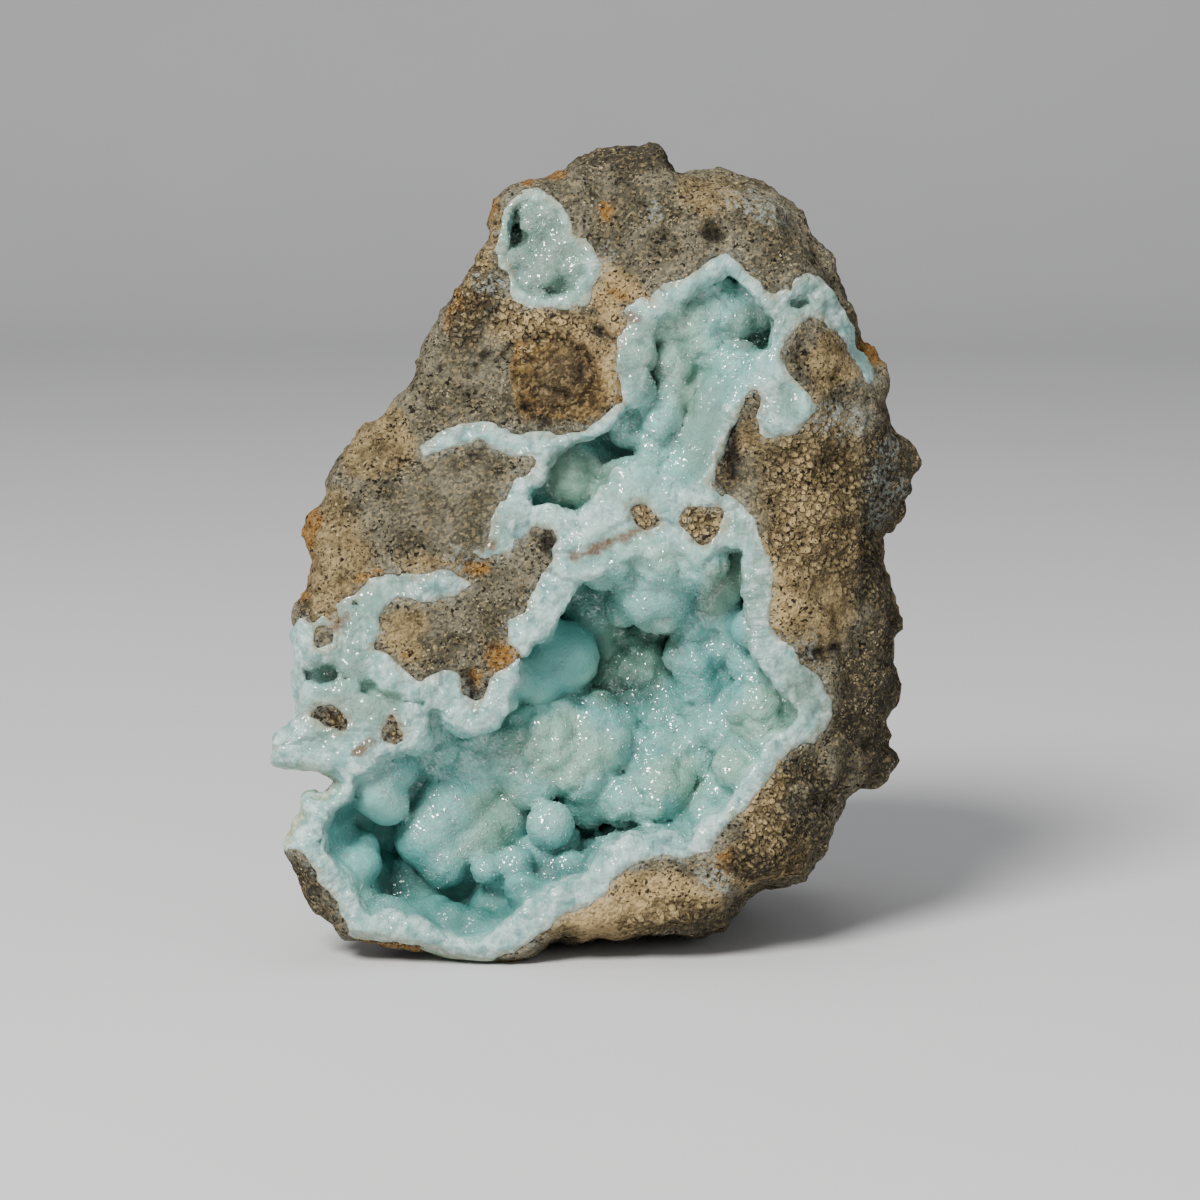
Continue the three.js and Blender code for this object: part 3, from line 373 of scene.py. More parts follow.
def face_depth(u, v):
    """Depth of the broken front face: nearly flat, turning away at the right flank and the top."""
    flank = smoothstep(22, 40, u + 0.12 * np.abs(v - 58)) * 9
    top = smoothstep(86, 97, v) * 5
    knob = 2 * np.exp(-(((u + 4.5) / 7) ** 2) - ((v - 68) / 6) ** 2)
    recess = 1.6 * np.exp(-(((u - 15.5) / 3) ** 2) - ((v - 59) / 6) ** 2)
    return flank + top - knob + recess + 0.7 * noise(u, 3.0, v, 9)


def side_field(u, w, v):
    """The sides of the specimen, negative inside, and how far each point is to the back."""
    widest = 4 + 11 * smoothstep(0, 32, u) + 5 * smoothstep(76, 95, v)
    back = smoothstep(0, 1, (w - widest - 1) / 11)
    front_outline = outline_distance(SILHOUETTE, *wander(u, v, (0.35, 0.0, 50.0, 2.1)))
    outline = mix(front_outline, outline_distance(BACK_OUTLINE, u, v), back)
    front = mix(0.35, 0.1, smoothstep(0, -8, u) * smoothstep(72, 79, v))
    slope = np.where(w < widest, front, mix(0.02, 0.14, smoothstep(4, 30, v)))
    return outline + slope * np.abs(w - widest), back


def body_field(u, w, v):
    """The whole specimen with no hollows, negative inside."""
    sides, back = side_field(u, w, v)
    field = smooth_max(sides, face_depth(u, v) - w, 1.6)
    cu, cw, cv = BACK_CENTRE
    for (du, dw, dv), distance in BACK_PLANES:
        length = math.sqrt(du * du + dw * dw + dv * dv)
        plane = ((u - cu) * du + (w - cw) * dw + (v - cv) * dv) / length - distance
        field = smooth_max(field, plane, 2)
    return field + back * (1.2 * noise(u, w, v, 13) + 0.8 * noise(u, w, v, 7))


def hollow_field(hollow, u, w, v):
    """A hollow's open space, negative inside."""
    floor, edge = hollow
    lean = mix(0.24, -0.06, smoothstep(8, 24, v)) + 0.45 * smoothstep(-20, -32, u)
    deepest = floor * mix(1, 0.62, smoothstep(-12, -28, u)) + 1.5 * noise(u, 7.0, v, 8)
    lobes = SCALLOP * domes(u, 0.0, v, 2.7) * smoothstep(8, 1, w)
    wall = outline_distance(edge, u, v) + lobes + lean * np.maximum(w - RIM_LIP, 0)
    return smooth_max(wall, w - deepest, 3)


def hollows_field(hollows, u, w, v):
    return np.minimum.reduce([hollow_field(hollow, u, w, v) for hollow in hollows])


def crust_space(crust, u, w, v):
    """The space that a crust fills, hollow included, negative inside."""
    ragged = wander(u, v, (0.45, 20.0, 70.0, 1.9), (0.3, 30.0, 80.0, 0.9))
    outer = outline_distance(crust.edge, *ragged)
    well = smooth_max(hollows_field(crust.hollows, u, w, v) - CRUST_THICKNESS, outer - 0.3 * w, 1)
    space = np.minimum(np.maximum(outer, w - face_depth(u, v) - RIM_DEPTH), well)
    for island in crust.islands:
        stub = outline_distance(island, *ragged)
        space = np.maximum(space, -np.maximum(stub, w - 2 * RIM_DEPTH))
    if crust.skin:
        space = np.maximum(space, side_field(u, w, v)[0] + crust.skin)
    return space


class Grid:
    """A cubic grid over a box of the face frame, with its axes shaped for broadcasting."""

    def __init__(self, low, high, cell):
        self.low = np.array(low, float)
        self.cell = cell
        count = np.ceil((np.array(high) - self.low) / cell).astype(int) + 1
        axes = [self.low[n] + cell * np.arange(count[n]) for n in range(3)]
        self.u = axes[0][:, None, None]
        self.w = axes[1][None, :, None]
        self.v = axes[2][None, None, :]
        self.shape = tuple(count)

    def around(self, centre, reach):
        """The slices of the grid within reach of a point (u, w, v)."""
        slices = []
        for n in range(3):
            first = int((centre[n] - reach - self.low[n]) / self.cell)
            last = int((centre[n] + reach - self.low[n]) / self.cell) + 2
            slices.append(slice(max(first, 0), max(min(last, self.shape[n]), 0)))
        return tuple(slices)


def lumps_field(lumps, grid):
    """Balls that run into each other, negative inside; cut off at FAR, beyond their reach."""
    FAR = 4.0
    field = np.full(grid.shape, FAR, np.float32)
    for u, v, w, radius in lumps:
        near = grid.around((u, w, v), radius + FAR)
        du = grid.u[near[0]] - u
        dw = grid.w[:, near[1]] - w
        dv = grid.v[:, :, near[2]] - v
        ball = np.sqrt(du * du + dw * dw + dv * dv) - radius
        field[near] = smooth_min(field[near], ball, LUMP_BLEND)
    return field


def pits_field(u, w, v):
    """The open space of the pits, negative inside."""
    field = 9.0
    for cu, cv, half_u, half_v, depth in PITS:
        ragged = 0.45 * noise(u, 9.0, v, 1.3)
        wall = (np.hypot((u - cu) / half_u, (v - cv) / half_v) - 1) * half_v + ragged
        field = np.minimum(field, smooth_max(wall, w - face_depth(u, v) - depth, 0.8))
    return field


def ridge_lumps(ridge, count):
    """Balls in a row between the two ends of a ridge."""
    start, end = ridge
    return [
        tuple(mix(a, b, n / (count - 1)) for a, b in zip(start, end)) for n in range(count)
    ]


def wall_lumps(hollow_values, clear_of, grid, spacing, rng):
    """Low lumps scattered on a hollow's walls, no closer than a spacing, clear of its gaps."""
    found = np.argwhere((np.abs(hollow_values) < grid.cell / 2) & (clear_of > 2.6))
    rng.shuffle(found)
    places = grid.low + grid.cell * found[:6000]
    kept = np.empty((0, 3))
    for place in places:
        if place[1] > 5 and (not len(kept) or
                             np.min(np.linalg.norm(kept - place, axis=1)) > spacing):
            kept = np.vstack([kept, place])
    radii = rng.uniform(0.3, 0.5, len(kept)) * spacing
    return [(u, v, w, radius) for (u, w, v), radius in zip(kept, radii)]


CUBE = [(c & 1, (c >> 1) & 1, (c >> 2) & 1) for c in range(8)]
CUBE_EDGES = [(a, a ^ bit) for a in range(8) for bit in (1, 2, 4) if a < a ^ bit]


def tangled_patterns():
    """For each pattern of corners inside, whether one clean sheet can't part them."""
    faces = [[c for c in range(8) if CUBE[c][axis] == side] for axis in range(3) for side in (0, 1)]
    table = np.zeros(256, bool)
    for pattern in range(256):
        inside = [bool(pattern >> c & 1) for c in range(8)]
        for wanted in (True, False):
            members = [c for c in range(8) if inside[c] == wanted]
            reached = set(members[:1])
            for _ in range(8):
                reached |= {c ^ bit for c in reached for bit in (1, 2, 4) if inside[c ^ bit] == wanted}
            table[pattern] |= len(reached) != len(members)
        for a, b, c, d in faces:
            table[pattern] |= inside[a] == inside[d] != inside[b] == inside[c]
    return table


def corners_of(values, cells):
    return np.stack([values[tuple((cells + CUBE[c]).T)] for c in range(8)], 1)


def untangle(values, cell):
    """Nudges the field where a cell's sheet would be tangled, so that the surface is clean."""
    tangled = tangled_patterns()
    weights = 1 << np.arange(8)
    cells = mixed_cells(values)
    for _ in range(12):
        corners = corners_of(values, cells)
        bad = tangled[(corners < 0) @ weights]
        if not bad.any():
            return
        nearest = np.where(corners[bad] < 0, np.inf, corners[bad]).argmin(1)
        at = cells[bad] + np.array(CUBE)[nearest]
        values[tuple(at.T)] = -cell / 50
        cells = mixed_cells(values)


def mixed_cells(values):
    """The cells that the surface crosses."""
    inside = values < 0
    size = np.array(values.shape) - 1
    some = np.zeros(size, bool)
    every = np.ones(size, bool)
    for a, b, c in CUBE:
        part = inside[a:a + size[0], b:b + size[1], c:c + size[2]]
        some |= part
        every &= part
    return np.argwhere(some & ~every)


def surface(values, grid):
    """Vertices (u, w, v) and triangles of the closed surface where a field is zero."""
    for axis in range(3):
        edge = [slice(None)] * 3
        for end in (0, -1):
            edge[axis] = end
            values[tuple(edge)] = grid.cell
    untangle(values, grid.cell)
    cells = mixed_cells(values)
    corners = corners_of(values, cells)
    total = np.zeros((len(cells), 3))
    crossings = np.zeros((len(cells), 1))
    for a, b in CUBE_EDGES:
        fa, fb = corners[:, a], corners[:, b]
        crossed = (fa < 0) != (fb < 0)
        t = np.where(crossed, fa / np.where(crossed, fa - fb, 1), 0)[:, None]
        place = mix(np.array(CUBE[a], float), np.array(CUBE[b], float), t)
        total += place * crossed[:, None]
        crossings += crossed[:, None]
    vertices = grid.low + grid.cell * (cells + total / crossings)
    number = np.full(values.shape, -1, np.int32)
    number[tuple(cells.T)] = np.arange(len(cells))

    inside = values < 0
    triangles = []
    for axis in range(3):
        here = np.moveaxis(inside, axis, 0)
        step = np.zeros(3, int)
        step[axis] = 1
        starts = np.argwhere(here[:-1] != here[1:])
        starts = np.insert(starts[:, 1:], axis, starts[:, 0], axis=1)
        p, q = [(1, 2), (2, 0), (0, 1)][axis]
        ring = []
        for a, b in ((0, 0), (1, 0), (1, 1), (0, 1)):
            back = starts.copy()
            back[:, p] -= a
            back[:, q] -= b
            ring.append(number[tuple(back.T)])
        ring = np.stack(ring, 1)
        outward = inside[tuple(starts.T)]
        ring[~outward] = ring[~outward][:, ::-1]
        first = np.linalg.norm(vertices[ring[:, 0]] - vertices[ring[:, 2]], axis=1)
        second = np.linalg.norm(vertices[ring[:, 1]] - vertices[ring[:, 3]], axis=1)
        cut = first < second
        triangles += [ring[cut][:, [0, 1, 2]], ring[cut][:, [0, 2, 3]]]
        triangles += [ring[~cut][:, [0, 1, 3]], ring[~cut][:, [1, 2, 3]]]
    return largest_piece(vertices, np.concatenate(triangles))


def largest_piece(vertices, triangles):
    """Drops every loose bit but the largest one."""
    label = np.arange(len(vertices))
    edges = np.concatenate([triangles[:, [0, 1]], triangles[:, [1, 2]]])
    while True:
        lowest = np.minimum(label[edges[:, 0]], label[edges[:, 1]])
        merged = label.copy()
        np.minimum.at(merged, label[edges[:, 0]], lowest)
        np.minimum.at(merged, label[edges[:, 1]], lowest)
        merged = merged[merged[merged]]
        if np.array_equal(merged, label):
            break
        label = merged
    keep = label == np.bincount(label).argmax()
    renumber = np.cumsum(keep) - 1
    return vertices[keep], renumber[triangles[keep[triangles[:, 0]]]]


def unit(vectors):
    return vectors / np.maximum(np.linalg.norm(vectors, axis=1, keepdims=True), 1e-9)


def normals_of(vertices, triangles):
    a, b, c = (vertices[triangles[:, n]] for n in range(3))
    cross = np.cross(b - a, c - a)
    sums = [
        sum(np.bincount(triangles[:, n], cross[:, axis], len(vertices)) for n in range(3))
        for axis in range(3)
    ]
    return unit(np.stack(sums, 1))


def to_world(points):
    """Face frame in millimetres to the row's frame in metres."""
    u, w, v = points.T
    x = u - MIDDLE_X
    y = w * math.cos(LEAN) + v * math.sin(LEAN) - MIDDLE_Y
    z = v * math.cos(LEAN) - w * math.sin(LEAN)
    return np.stack([x, y, z], 1) * MM


def below_ground(w, v):
    """How far a point of the face frame is below the ground."""
    return w * math.sin(LEAN) - v * math.cos(LEAN)


def make_piece(name, vertices, triangles, material, node, attributes, smooth=True):
    """A closed mesh as a piece that stands for a node of the frame."""
    mesh = bpy.data.meshes.new(name)
    mesh.vertices.add(len(vertices))
    places = to_world(vertices)
    places[:, 2] = np.maximum(places[:, 2], 0)
    mesh.vertices.foreach_set("co", places.astype(np.float32).ravel())
    mesh.loops.add(triangles.size)
    mesh.loops.foreach_set("vertex_index", triangles.astype(np.int32).ravel())
    mesh.polygons.add(len(triangles))
    mesh.polygons.foreach_set("loop_start", np.arange(0, triangles.size, 3, dtype=np.int32))
    mesh.polygons.foreach_set("use_smooth", np.full(len(triangles), smooth))
    for key, values in attributes.items():
        layer = mesh.attributes.new(key, "FLOAT", "POINT")
        layer.data.foreach_set("value", np.asarray(values, np.float32))
    mesh.update(calc_edges=True)
    mesh.validate()
    mesh.materials.append(material)
    piece = bpy.data.objects.new(name, mesh)
    bpy.context.scene.collection.objects.link(piece)
    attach(piece, "root")
    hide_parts(node)
    print(name, len(triangles), "triangles")


def scatter(vertices, triangles, weight, count, rng):
    """Random points on a mesh, spread by area times a weight per vertex, with their normals."""
    a, b, c = (vertices[triangles[:, n]] for n in range(3))
    cross = np.cross(b - a, c - a)
    area = np.linalg.norm(cross, axis=1)
    share = area * weight[triangles].mean(1)
    picked = rng.choice(len(triangles), count, p=share / share.sum())
    s, t = rng.random((2, count, 1))
    flip = s + t > 1
    s, t = np.where(flip, 1 - s, s), np.where(flip, 1 - t, t)
    places = a[picked] + s * (b - a)[picked] + t * (c - a)[picked]
    corner = triangles[picked, rng.integers(0, 3, count)]
    return places, normals_of(vertices, triangles)[corner], corner


def druse_mesh(places, normals, size, rng):
    """Low four-sided crystals sunk in a surface: one small closed mesh at each place."""
    count = len(places)
    up = unit(normals + 0.14 * rng.standard_normal((count, 3)))
    side = unit(np.cross(up, rng.standard_normal((count, 3))))
    across = np.cross(up, side)
    length = size * rng.uniform(0.55, 1.25, (count, 1))
    width = length * rng.uniform(0.5, 0.95, (count, 1))
    height = width * rng.uniform(0.1, 0.45, (count, 1))
    foot = places - 0.16 * size * up
    tip = places + height * up + 0.3 * length * rng.uniform(-1, 1, (count, 1)) * side
    corners = [
        foot + length * side, foot + width * across, foot - length * side, foot - width * across,
        tip,
    ]
    vertices = np.stack(corners, 1).reshape(-1, 3)
    one = np.array([[0, 1, 4], [1, 2, 4], [2, 3, 4], [3, 0, 4], [0, 3, 2], [0, 2, 1]])
    triangles = (one[None] + 5 * np.arange(count)[:, None, None]).reshape(-1, 3)
    return vertices, triangles


# A crust: its outer edge, the rock islands in it, the hollows that it lines, the skin of rock kept
# outside it, its lumps, and its grid's box and cell.
Crust = namedtuple("Crust", "name node edge islands hollows skin lumps box cell druse_count seed")
MAIN_CRUST = Crust(
    name="crust", node="main_crust", edge=CRUST_EDGE, islands=ISLANDS,
    hollows=[MAIN_HOLLOW, UPPER_HOLLOW, LEFT_HOLLOW], skin=None,
    lumps=MAIN_LUMPS + UPPER_LUMPS + ridge_lumps(RIDGE, 8), box=((-41, -6, -4), (36, 32, 86)),
    cell=CRUST_CELL, druse_count=MAIN_DRUSE, seed=11,
)
CORNER_CRUST = Crust(
    name="corner", node="corner_crust", edge=CORNER_EDGE, islands=[], hollows=[CORNER_HOLLOW],
    skin=ROCK_SKIN, lumps=CORNER_LUMPS, box=((-18, -6, 70), (6, 18, 95)), cell=POCKET_CELL,
    druse_count=CORNER_DRUSE, seed=12,
)


def spots(u, v, places, inner=0.55, outer=1.25):
    """A mask that is 1 at the middle of each place (u, v, radius u, radius v) and fades out."""
    mask = np.zeros(len(u))
    moved_u, moved_v = wander(u, v, (1.6, 11.0, 13.0, 4), (0.7, 12.0, 14.0, 1.7))
    for cu, cv, ru, rv in places:
        away = ((moved_u - cu) / ru) ** 2 + ((moved_v - cv) / rv) ** 2
        mask = np.maximum(mask, smoothstep(outer, inner, away))
    return mask


TAN_PLACES = [
    (24, 50, 6.5, 15), (21, 62, 4, 4), (1, 7, 13, 4.5), (17.5, 22, 4, 6), (-30, 47, 4.5, 8),
    (-25, 60, 5, 4), (13, 89.5, 4, 3.5), (-6, 74, 6.5, 2), (1.2, 68.5, 1.6, 6), (2.6, 78, 3.6, 3),
    (-13.4, 84, 1.6, 6), (-15.4, 77, 2, 4), (26, 68.5, 3.5, 3), (-22, 38.5, 3, 3), (-20, 45.6, 4, 1.5),
    (5, 51.6, 2.4, 2), (12, 50.5, 3, 3), (20, 12, 5, 5), (-23.6, 27.2, 1.8, 2),
]
OCHRE_PLACES = [
    (-11, 35.8, 1.8, 2.2), (-14.6, 45, 1.2, 1.2), (-21.2, 36.8, 0.7, 0.6), (-33.9, 47, 1, 6),
    (-6.4, 91, 3, 0.8), (0.6, 86.6, 1, 1.4), (-8.4, 69, 1.2, 3), (4, 77.6, 2.6, 0.9),
    (-25.6, 45, 1, 0.5), (-24, 2.4, 5, 0.8), (-11, 0.6, 4, 0.7), (15, 12.6, 1.6, 1.6),
    (-14.2, 87.5, 1.4, 3), (-17, 77, 0.8, 4), (-13.6, 33.8, 1, 1), (30.6, 70, 1, 2.4),
    (1.4, 66.6, 0.9, 3), (-29.4, 27.6, 1, 0.8),
]
# Where the rock is darker: partly its own dark patches, partly painted shade on the right flank and the
# top, which turn away from the light, and in its recesses.
DARK_AND_SHADED_PLACES = [
    (37, 40, 6, 20), (33, 57, 3.4, 8), (29.5, 31, 3, 6), (34, 24, 4, 5), (29, 9, 4, 2),
    (4, 94, 10, 3.2), (-34, 9.4, 2.6, 4), (30, 77, 2.4, 8), (15.4, 60, 1.4, 5.6),
    (-5, 72.2, 4.4, 0.8), (-15.2, 32.8, 1, 1), (-6, 48.6, 1.6, 1.4), (-33.5, 41.6, 1.6, 1.2),
    (2.2, 90.2, 1.6, 1.2), (25, 36.4, 2.4, 1), (-29.6, 27.8, 1.6, 1.2), (18, 12, 3.6, 2),
]
SMOOTH_PLACES = [
    (-16, 53, 7, 6), (-14.5, 70, 4, 3), (-4.4, 68.4, 2.4, 2.6), (0, 5.4, 9, 2.4), (16, 55.6, 2, 3),
    (27, 42, 2.4, 4), (-20, 39.5, 4, 1.6),
]
BRIGHT_PLACES = [
    (3, 7.6, 10, 3.6), (17.4, 21, 2.4, 6.5), (-6, 74.4, 6, 1.8), (22, 51, 3, 7),
    (21.6, 42, 1.6, 3), (-9.6, 73.4, 3.4, 2), (24, 52, 3, 5), (5, 51.6, 2, 1.8), (12, 50.5, 2.6, 2.6),
]
# Where the rock crumbles into coarse grains, and where fine pale crystals dust it.
CRUMBLY_PLACES = [
    (22, 16, 6, 8), (24, 54, 6, 9), (30, 50, 4, 10), (-7, 73.6, 7, 2.4), (-15, 77, 3, 6), (8, 5, 6, 2),
    (5, 51.6, 2.4, 2.2), (12, 50.5, 3, 3), (-30, 28.6, 2.4, 2), (-23.7, 27.2, 1.8, 2),
]
FROST_PLACES = [
    (20, 88, 6, 3), (1.8, 81.8, 1.6, 1.6), (6.3, 86.2, 1.4, 1.2), (13, 10, 2.4, 3), (24, 36.6, 2, 2),
    (33, 56, 2, 6), (-12.6, 77.6, 2, 2.4), (27, 62, 3, 3),
]
# Pale tan streaks and dark cracks, each as the two ends of a line with a half width.
STREAKS = [
    ((0.4, 79.6), (6, 75.6), 0.9), ((0.2, 76.4), (2, 72.4), 1.1), ((2, 72.4), (1.4, 68), 0.7),
    ((-7.4, 74), (-2.4, 72.6), 0.9), ((-2.4, 72.6), (0.8, 69.4), 0.7), ((0.8, 69.4), (1.2, 64.8), 0.5),
]
CRACKS = [
    ((-15, 67.5), (-13, 70), 0.22), ((-12, 69), (-10, 71), 0.22), ((-5, 75), (-1, 73.6), 0.25),
    ((-1, 73.6), (2.5, 71), 0.25), ((-2.4, 70.6), (-2.2, 66.6), 0.3), ((-6.6, 66.4), (-3.4, 65), 0.3),
    ((12.5, 83.8), (13.6, 83.5), 0.8), ((-8.6, 63.6), (-5.4, 61.6), 0.3), ((24, 36), (27.4, 36.6), 0.5),
    ((15, 62.4), (15.4, 56.4), 0.6), ((-6.4, 48.8), (-5.4, 47.6), 0.6), ((-14.6, 30.4), (-15, 33.4), 0.5),
]


def line_mask(u, v, lines):
    """1 along each line (start, end, half width), fading out at a ragged edge."""
    mask = np.zeros(len(u))
    for (u0, v0), (u1, v1), width in lines:
        du, dv = u1 - u0, v1 - v0
        t = np.clip(((u - u0) * du + (v - v0) * dv) / (du * du + dv * dv), 0, 1)
        away = np.hypot(u - u0 - t * du, v - v0 - t * dv) + 0.35 * noise(u, 5.0, v, 1)
        mask = np.maximum(mask, smoothstep(width + 0.3, width - 0.2, away))
    return mask


def seam_distance(u, v):
    """Distance along the face to where the rock and the crust meet."""
    outlines = [CRUST_EDGE, CORNER_EDGE] + ISLANDS
    return np.minimum.reduce([np.abs(outline_distance(outline, u, v)) for outline in outlines])


def rock_masks(u, w, v):
    """Where the rock has each of its looks, and how far each point is from a crust."""
    behind_face = w - face_depth(u, v)
    front = smoothstep(9, 4, behind_face)
    moved_u, moved_v = wander(u, v, (1.5, 21.0, 22.0, 3.1))
    ring = np.hypot((moved_u + 3.6) / 6.6, (moved_v - 67.4) / 6.2)
    seam = mix(9, seam_distance(u, v), front)
    back_tan = smoothstep(-0.15, 0.35, noise(u, w, v, 17))
    back_ochre = smoothstep(0.5, 0.8, noise(u, w, v, 8))
    back_dark = smoothstep(0.1, 0.5, noise(u, w + 40, v, 14))
    masks = {
        "tan": mix(back_tan, spots(u, v, TAN_PLACES), front),
        "ochre": mix(back_ochre, spots(u, v, OCHRE_PLACES), front),
        "dark": mix(back_dark, spots(u, v, DARK_AND_SHADED_PLACES), front),
        "smooth": spots(u, v, SMOOTH_PLACES) * smoothstep(6, 3, behind_face),
        "ring": ring * front + 9 * (1 - front),
        "crumbly": spots(u, v, CRUMBLY_PLACES) * front,
        "crack": line_mask(u, v, CRACKS) * front,
        "streak": line_mask(u, v, STREAKS) * front,
        "frost": np.maximum(spots(u, v, FROST_PLACES) * front, 0.7 * smoothstep(1.3, 0.1, seam)),
        "bright": spots(u, v, BRIGHT_PLACES) * front,
    }
    return masks, seam


def rock_relief(u, w, v, masks, seam):
    """How far the rock's grain, cracks and crags stand out of its plain shape."""
    coarse = 0.55 * noise(u, w, v, 3.7) - 0.6 * np.abs(noise(u, w, v, 5.3))
    craggy = np.maximum(smoothstep(20, 27, u), smoothstep(3, 9, w - face_depth(u, v)))
    coarse += craggy * (0.7 - 1.8 * np.abs(noise(u, w, v, 7.1)) - 0.9 * np.abs(noise(u, w, v, 3.1)))
    broken = 0.5 * (0.45 - cell_noise(u, w, v, 2.3)) + 0.3 * (0.45 - cell_noise(u, w, v, 1.2))
    fine = 0.2 * noise(u, w, v, 1.1) + 0.16 * noise(u, w, v, 0.7)
    crumbs = 0.7 * masks["crumbly"] * (0.4 - cell_noise(u, w, v, 1.5))
    relief = (0.3 + coarse + broken + fine) * mix(1, 0.4, masks["smooth"]) + crumbs
    relief = mix(0.3, relief, smoothstep(0.1, 2.4, seam))
    relief -= 0.4 * smoothstep(0.16, 0, np.abs(masks["ring"] - 0.5)) + 0.6 * masks["crack"]
    return np.maximum(relief, THINNEST_ROCK - crust_space(CORNER_CRUST, u, w, v))


def build_rock(material):
    grid = Grid((-42, -6, -6), (42, 54, 102), ROCK_CELL)
    u, w, v = grid.u, grid.w, grid.v
    crusts = np.minimum(crust_space(MAIN_CRUST, u, w, v), crust_space(CORNER_CRUST, u, w, v))
    field = np.maximum(body_field(u, w, v), -crusts)
    points, triangles = surface(np.maximum(field, below_ground(w, v)), grid)

    u, w, v = points.T
    masks, seam = rock_masks(u, w, v)
    relief = rock_relief(u, w, v, masks, seam)
    # Painted shade: the rock is darker where its relief sinks into pits.
    masks["hollow"] = smoothstep(0.3, -1.2, relief)
    standing = smoothstep(0.05, 1.5, -below_ground(w, v))
    points = points + normals_of(points, triangles) * (relief * standing)[:, None]
    make_piece("rock", points, triangles, material, "host_rock", masks)


def fibre_coordinates(u, v, outlines):
    """How far along the nearest outline each point is, and how far across from it."""
    best = np.full(len(u), np.inf)
    along_best = np.zeros(len(u))
    for number, outline in enumerate(outlines):
        travelled = 100.0 * number
        for (u0, v0), (u1, v1) in zip(outline, outline[1:] + outline[:1]):
            du, dv = u1 - u0, v1 - v0
            length = math.hypot(du, dv)
            along = ((u - u0) * du + (v - v0) * dv) / length
            t = np.clip(along, 0, length)
            away = np.hypot(u - u0 - t * du / length, v - v0 - t * dv / length)
            closer = away < best
            best = np.where(closer, away, best)
            along_best = np.where(closer, travelled + along, along_best)
            travelled += length
    return along_best, best


# Where the crust is covered in knobs, where it is bluer, and where it is greyish or creamy.
KNOBBLY_PLACES = [
    (-5, 25.4, 10, 6.6), (-14, 24, 6, 3), (10, 25, 6, 5), (18.5, 30, 3.6, 5), (5, 34, 6, 6),
    (11, 36, 3.6, 5), (10, 72, 7, 9), (6, 62, 4, 4), (-6, 83, 6, 6), (-3, 56, 4, 4),
    (3.6, 18.4, 4, 2), (8, 47, 8, 4), (13.5, 43, 3, 3),
]
BLUE_PLACES = [
    (-3.8, 35.6, 4, 5), (0.6, 29.4, 5, 2.4), (-10, 8.6, 14, 3.6), (-23.6, 11, 5, 6), (-21.4, 22, 2, 4),
    (-16, 5.6, 9, 2.6), (-29.6, 14, 3, 6), (13, 66, 3, 4),
    (15.8, 41, 1.6, 6), (11.6, 60, 3, 7), (11.4, 34, 3.2, 5), (-17, 21, 3, 2.4), (4.6, 24, 2, 5),
    (11, 40, 3, 3), (10, 18, 3, 1.6), (14, 33, 3, 4), (-30, 17, 3, 2.4), (-9, 12.6, 6, 3.4),
    (-16, 5, 9, 2.4), (-2, 11.6, 6, 2),
]
CREAM_PLACES = [
    (-5, 24.4, 8, 4.4), (8, 20.6, 5, 2.8), (19.6, 29, 4, 4.4), (15.4, 22.4, 2.4, 2.6),
    (3.4, 35, 5, 5), (4, 50, 9, 4.6), (9, 70, 4, 8), (-6, 83, 6, 6), (-25, 30, 7, 4),
    (-3, 56, 4, 3.6), (13.6, 43.6, 3, 3), (-13, 16, 4, 4), (23, 32, 3, 4),
]
GREY_PLACES = [
    (-3, 56, 5, 4), (11.4, 62.6, 4, 8), (13.5, 43.4, 3, 3), (-31, 33.6, 5, 1.6), (-25, 43.4, 7, 1.6),
    (17.4, 50.4, 2.2, 2.6), (17.6, 73.6, 3, 3), (-5, 79, 3, 2), (-9.6, 84.4, 1.4, 3), (-28.6, 37, 3, 5),
    (20, 64, 2.6, 3), (12.6, 11.4, 2, 1.6), (-12, 50, 2.4, 3), (-6, 82, 7, 8), (-29, 29, 7, 3.4),
    (18, 45, 2, 8), (23, 32, 4, 4), (22, 75, 5, 5), (4, 71, 3, 6), (-29, 41, 5, 3),
    (12.8, 62, 3, 8), (-30, 37, 4, 3), (21, 64, 3, 3), (15.6, 50, 3, 3),
]
# Where the crust is sleek, with no glitter.
SLEEK_PLACES = [
    (12.6, 62.6, 3.6, 8), (-3.8, 36, 5, 5), (-12, 6.6, 12, 3.2), (-28, 17, 4, 5), (-25, 11, 5, 4),
    (15.6, 42, 2, 5), (-7.2, 33, 4, 4), (-3, 56, 3, 3),
]
# Where the broken edge of the crust runs softly into its lumps.
SOFT_PLACES = [
    (3.4, 54, 5, 3.6), (5, 47, 12, 2.8), (4, 71, 3, 6), (10, 77, 5, 2.4), (-7, 82, 7, 8),
    (-28, 41, 5, 3), (13.5, 60, 2, 6), (22.5, 31, 2.6, 5),
    (-29, 30, 6, 5), (22, 64, 3, 3), (15, 70, 6, 5),
]
# Where the crust is in the shade of what hangs over it.
SHADE_PLACES = [
    (-23, 8.8, 5.6, 2.4), (-13, 8.4, 8, 1), (-28.8, 19, 2, 1.8), (2, 15, 5, 1.2), (-31.6, 33.3, 2, 0.9),
    (-3, 10.6, 9, 2), (-14, 6, 8, 2.4),
    (3, 31, 3, 2), (-3, 31, 2, 1.4), (5, 65.8, 1, 1.6), (18, 71.6, 2, 1.2),
]
# Thin brown veins of rock in the crust.
VEINS = [
    ((-2.8, 46.8), (4.8, 50), 0.5), ((-28, 24.5), (-26, 25.8), 0.4), ((-28.6, 40.4), (-30.4, 38.6), 0.5),
    ((3.4, 74.9), (3.9, 73.9), 0.5), ((-13.6, 48.3), (-12.2, 48.1), 0.5),
]


